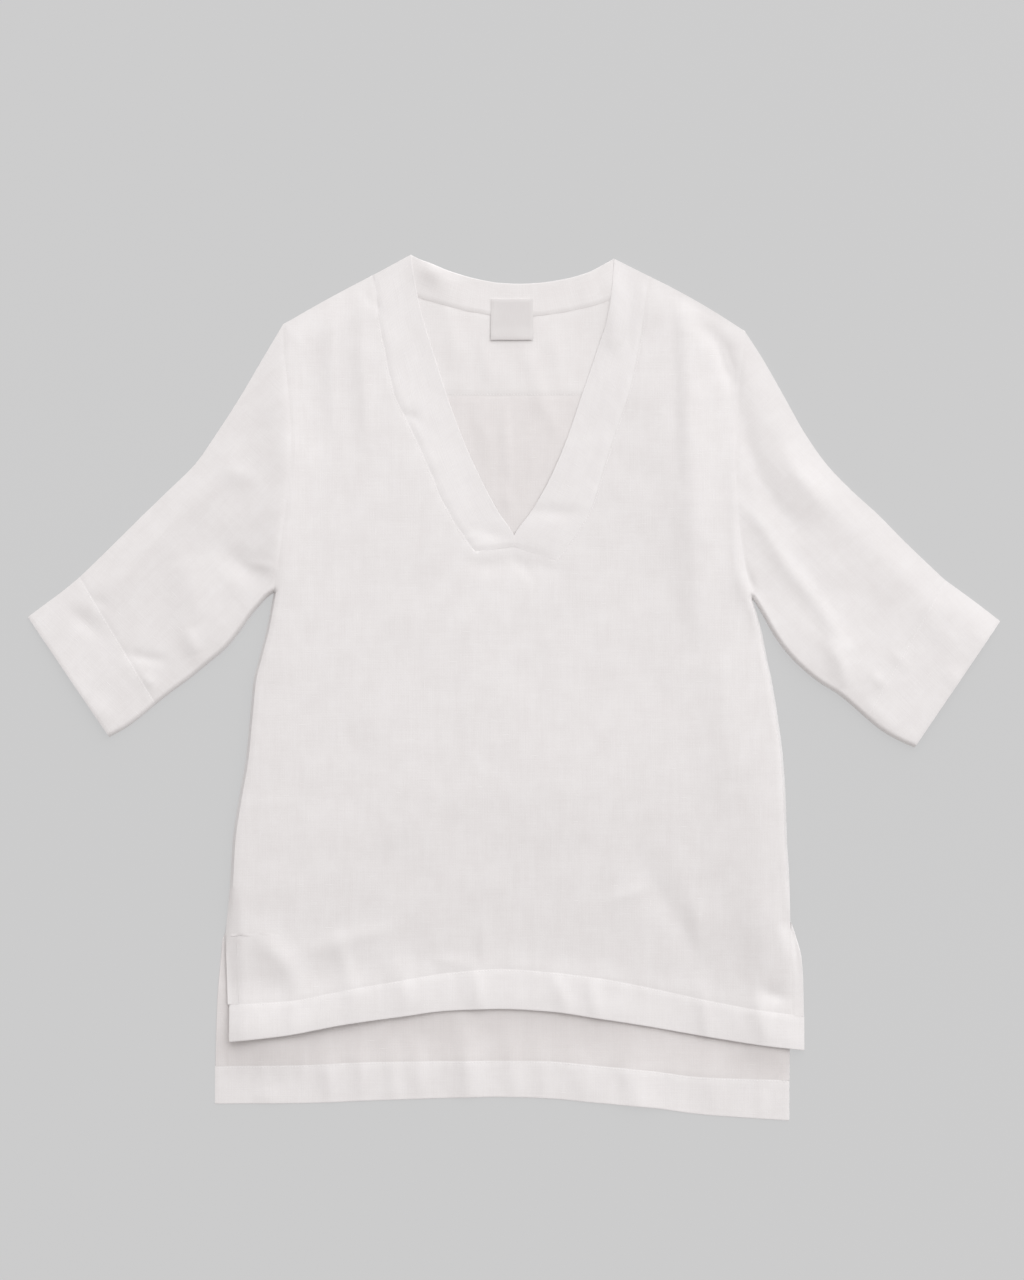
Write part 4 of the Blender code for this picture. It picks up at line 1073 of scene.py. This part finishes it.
def add_tube(name, rings, sign, steps, columns, wall, material, seams, free_end):
    """A flattened tube: it lies on the ground, and its upper side follows the creases."""
    x, down = ring_places(rings, sign, steps, columns)
    way_x = sign * math.cos(SLEEVE_GRAIN)
    way_down = math.sin(SLEEVE_GRAIN)
    along = x * way_x + down * way_down
    across = x * way_down - down * way_x
    top = upper_layer(x, down) + LINEN - seams_near(x, down, seams)
    middle = 0.5 * (UPPER_FLOOR + LINEN)
    top[:, 0] = middle
    top[:, -1] = middle
    bottom = np.full(x.shape, 0.0)
    if free_end:
        rounded = turned_edge(np.hypot(x[-1:, :] - x, down[-1:, :] - down), 0.5)
        top = top - rounded
        bottom = bottom + 0.5 * rounded
    else:
        bottom = bottom + 0.5 * LINEN
        x, down, top, bottom, across, along = tuck((x, down, top, bottom, across, along), "top")
        x, down, top, bottom, across, along = tuck((x, down, top, bottom, across, along), "bottom")
    x = np.concatenate((x, x[:, -2::-1]), axis=1)
    down = np.concatenate((down, down[:, -2::-1]), axis=1)
    top = np.concatenate((top, bottom[:, -2:0:-1], top[:, :1]), axis=1)
    across = np.concatenate((across, 2 * across[:, -1:] - across[:, -2::-1]), axis=1)
    along = np.concatenate((along, along[:, -2::-1]), axis=1)
    return cloth(name, x, down, top, wall, material, across, along, closed=True)


def add_label():
    xs = np.linspace(LABEL_LEFT, LABEL_RIGHT, 21)
    downs = np.linspace(LABEL_TOP, LABEL_BOTTOM, 21)[:, None]
    x, down = spread(xs, 21), downs + 0 * xs
    from_edge = np.minimum(np.minimum(x - LABEL_LEFT, LABEL_RIGHT - x), np.minimum(down - LABEL_TOP, LABEL_BOTTOM - down))
    curl = 0.5 * ease((down - 66.0) / 15.0)
    top = lower_layer(x, down) + LINEN_DOUBLE + BAND_STEP + 0.4 + LABEL_WALL + curl - turned_edge(from_edge, 0.3)
    return cloth("label", x, down, top, LABEL_WALL, LABEL, x, down)


def beside(path, offset):
    """A path moved sideways, to the left of its way along."""
    path = np.asarray(path, float)
    way = np.gradient(path, axis=0)
    way = way / np.maximum(np.hypot(way[:, :1], way[:, 1:]), 1e-9)
    return path + offset * np.column_stack((way[:, 1], -way[:, 0]))


def stitch_places(path):
    """Centres and directions of the stitches along a path."""
    path = np.asarray(path, float)
    lengths = np.concatenate(([0.0], np.cumsum(np.hypot(*np.diff(path, axis=0).T))))
    middles = np.arange(0.5 * STITCH_PITCH, lengths[-1], STITCH_PITCH)
    spots = np.column_stack([np.interp(middles, lengths, path[:, i]) for i in (0, 1)])
    ahead = np.column_stack([np.interp(middles + 0.5, lengths, path[:, i]) for i in (0, 1)])
    before = np.column_stack([np.interp(middles - 0.5, lengths, path[:, i]) for i in (0, 1)])
    way = ahead - before
    return spots, way / np.hypot(way[:, :1], way[:, 1:])


def add_stitches(name, rows):
    """Rows of stitches as small beads with sunk ends. rows are pairs of a path and its surface."""
    run = np.array([-0.5, -0.34, 0.0, 0.34, 0.5]) * STITCH_LENGTH
    girth = np.array([0.35, 0.95, 1.0, 0.95, 0.35]) * STITCH_WIDTH / 2
    sunk = np.array([0.30, 0.04, 0.0, 0.04, 0.30])
    turns = np.arange(6) * math.pi / 3
    verts, faces = [], []
    for path, surface in rows:
        spots, ways = stitch_places(path)
        heights = surface(spots[:, 0], spots[:, 1])
        for spot, way, height in zip(spots, ways, heights):
            start = len(verts)
            for r, g, s in zip(run, girth, sunk):
                for turn in turns:
                    aside = g * math.cos(turn)
                    verts.append((
                        (spot[0] + way[0] * r + way[1] * aside) * MM,
                        (HIGH_POINT_Y - spot[1] - way[1] * r + way[0] * aside) * MM,
                        (height - s + 0.8 * g * math.sin(turn)) * MM))
            for i in range(len(run) - 1):
                for j in range(len(turns)):
                    one, two = start + i * 6 + j, start + i * 6 + (j + 1) % 6
                    faces.append((one, two, two + 6, one + 6))
            faces.append(tuple(range(start + 5, start - 1, -1)))
            faces.append(tuple(range(start + 24, start + 30)))
    mesh = bpy.data.meshes.new(name)
    mesh.from_pydata(verts, [], faces)
    mesh.shade_smooth()
    mesh.materials.append(THREAD)
    thing = bpy.data.objects.new(name, mesh)
    bpy.context.scene.collection.objects.link(thing)
    return thing


def stitch_rows():
    """The lines of stitches and the cloth that each is sewn through."""
    def upper(x, down):
        return upper_layer(x, down) + LINEN - 0.10

    def lower(x, down):
        return lower_layer(x, down) + LINEN_DOUBLE - 0.06

    def over(columns, line, first, last):
        return np.column_stack((np.linspace(first, last, columns), line(np.linspace(first, last, columns))))

    rows = [
        (over(120, lambda x: front_hem_top(x) + STITCH_IN, -269.0, 274.0), upper),
        (over(120, lambda x: back_hem_top(x) + STITCH_IN, -282.0, 260.0), lower),
        (over(90, lambda x: YOKE_SEAM_DOWN - STITCH_IN + 0 * x, -206.0, 206.0), lower),
        (beside(smooth_path([(row.outer_x, row.outer_down) for row in BAND_BACK[1:-1]]), STITCH_IN), lower),
        (beside(NECK_SEAM_LEFT[3:], -STITCH_IN), upper),
        (beside(NECK_SEAM_RIGHT[3:], STITCH_IN), upper),
    ]
    for cuff, sign in ((CUFF_LEFT, 1), (CUFF_RIGHT, -1)):
        seam = np.linspace((cuff[0].upper_x, cuff[0].upper_down), (cuff[0].lower_x, cuff[0].lower_down), 40)
        rows.append((beside(seam, -sign * STITCH_IN)[1:-1], upper))
    return rows


# Stage

def add_stage():
    """A plain pale ground, a large soft light from above the right shoulder, and an even sky."""
    mesh = bpy.data.meshes.new("ground")
    bm = bmesh.new()
    bmesh.ops.create_grid(bm, x_segments=1, y_segments=1, size=6.0)
    bm.to_mesh(mesh)
    bm.free()
    ground = bpy.data.objects.new("ground", mesh)
    bpy.context.scene.collection.objects.link(ground)
    finish = Finish("pale_ground")
    finish.surface.inputs["Base Color"].default_value = (0.10, 0.10, 0.10, 1.0)
    finish.set(roughness=0.9, emission_strength=1.0)
    finish.surface.inputs["Emission Color"].default_value = (0.51, 0.512, 0.514, 1.0)
    finish.surface.inputs["Specular IOR Level"].default_value = 0.1
    mesh.materials.append(finish.material)

    world = bpy.context.scene.world or bpy.data.worlds.new("even_sky")
    bpy.context.scene.world = world
    world.use_nodes = True
    sky = world.node_tree.nodes["Background"]
    sky.inputs["Color"].default_value = (1.0, 0.943, 0.93, 1.0)
    sky.inputs["Strength"].default_value = 0.51

    lamp = bpy.data.lights.new("window", "AREA")
    lamp.shape = "SQUARE"
    lamp.size = 12.5
    lamp.energy = 1045.0
    lamp.color = (0.99, 0.99, 1.0)
    light = bpy.data.objects.new("window", lamp)
    bpy.context.scene.collection.objects.link(light)
    elevation, azimuth, distance = math.radians(36), math.radians(66), 9.5
    light.location = (
        distance * math.cos(elevation) * math.cos(azimuth),
        distance * math.cos(elevation) * math.sin(azimuth),
        distance * math.sin(elevation),
    )
    light.rotation_euler = (math.pi / 2 - elevation, 0.0, azimuth + math.pi / 2)
    bpy.context.scene.view_settings.view_transform = "Standard"


def add_camera():
    """Straight above, as the photograph was taken."""
    height, frame_height = 4.0, 1.216
    camera = bpy.data.cameras.new("camera")
    camera.sensor_width = 36.0
    camera.lens = camera.sensor_width * height / frame_height
    thing = bpy.data.objects.new("camera", camera)
    thing.location = (-0.0019, 0.0451, height)
    bpy.context.scene.collection.objects.link(thing)
    bpy.context.scene.camera = thing


def declare(piece, nodes):
    """Sets a piece on the root and hides the imported parts that it stands for."""
    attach(piece, "root")
    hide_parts(*nodes)


def main():
    add_camera()
    add_stage()
    pieces = {}
    pieces["back"] = add_back()
    pieces["yoke"] = add_yoke()
    pieces["band_back"] = add_back_band()
    pieces["front"] = add_front()
    pieces["band_left"] = add_front_band("left", FOLD_LEFT, -1)
    pieces["band_right"] = add_front_band("right", FOLD_RIGHT, 1)
    for side, sign, sleeve, cuff, armhole in (
        ("l", -1, SLEEVE_LEFT, CUFF_LEFT, ARMHOLE_LEFT), ("r", 1, SLEEVE_RIGHT, CUFF_RIGHT, ARMHOLE_RIGHT)
    ):
        cuff_seam = [(cuff[0].upper_x, cuff[0].upper_down), (cuff[0].lower_x, cuff[0].lower_down)]
        pieces[f"sleeve_{side}"] = add_tube(
            f"sleeve_{side}", sleeve, sign, 96, 84, LINEN, WHITE, (armhole, cuff_seam), False)
        pieces[f"cuff_{side}"] = add_tube(
            f"cuff_{side}", cuff, sign, 28, 60, LINEN_DOUBLE, WHITE_CUFF, (cuff_seam,), True)
    pieces["hem_front"] = add_hem(
        "hem_front", FRONT_HEM, upper_layer, front_hem_top, front_hem_bottom, WHITE_CUFF, LINEN, PLUMP)
    pieces["hem_back"] = add_hem(
        "hem_back", BACK_HEM, lower_layer, back_hem_top, back_hem_bottom, WHITE_DOUBLE, LINEN_DOUBLE, 0.15)
    pieces["slit_front_l"] = add_slit_hem(
        "slit_front_l", front_slit_left, lambda down: front_slit_left(down) + SLIT_HEM,
        FRONT_SLIT_LEFT_DOWN[0], front_hem_top(FRONT_SLIT_LEFT_X[-1]), upper_layer, WHITE, LINEN, 0.0, 0.0)
    pieces["slit_front_r"] = add_slit_hem(
        "slit_front_r", front_slit_right, lambda down: FRONT[-1].right_x + 0 * down,
        FRONT_SLIT_RIGHT_DOWN[0], front_hem_top(FRONT_SLIT_RIGHT_X[-1]), upper_layer, WHITE, LINEN, 1.3, 0.5)
    pieces["slit_back_l"] = add_slit_hem(
        "slit_back_l", back_slit_left, lambda down: back_slit_left(down) + SLIT_HEM,
        BACK_SLIT_DOWN[0], back_hem_top(BACK_SLIT_LEFT_X[-1]), lower_layer, BACK_PAINTED_SHADE, LINEN_DOUBLE)
    pieces["slit_back_r"] = add_slit_hem(
        "slit_back_r", back_slit_right, lambda down: back_slit_right(down) - SLIT_HEM,
        BACK_SLIT_DOWN[0], back_hem_top(BACK_SLIT_RIGHT_X[-1]), lower_layer, BACK_PAINTED_SHADE, LINEN_DOUBLE)
    pieces["label"] = add_label()
    pieces["stitches"] = add_stitches("stitches", stitch_rows())

    declare(pieces["back"], ["back_panel"])
    declare(pieces["yoke"], ["back_yoke"])
    declare(pieces["band_back"], ["neckband_back"])
    declare(pieces["front"], ["front_panel"])
    declare(pieces["band_left"], ["neckband_left"])
    declare(pieces["band_right"], ["neckband_right"])
    declare(pieces["sleeve_l"], ["sleeve_left"])
    declare(pieces["sleeve_r"], ["sleeve_right"])
    declare(pieces["cuff_l"], ["cuff_left"])
    declare(pieces["cuff_r"], ["cuff_right"])
    declare(pieces["hem_front"], ["front_hem"])
    declare(pieces["hem_back"], ["back_hem"])
    declare(pieces["slit_front_l"], ["slit_hem_front_left"])
    declare(pieces["slit_front_r"], ["slit_hem_front_right"])
    declare(pieces["slit_back_l"], ["slit_hem_back_left"])
    declare(pieces["slit_back_r"], ["slit_hem_back_right"])
    declare(pieces["label"], ["neck_label"])

    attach(pieces["stitches"], "root")


main()
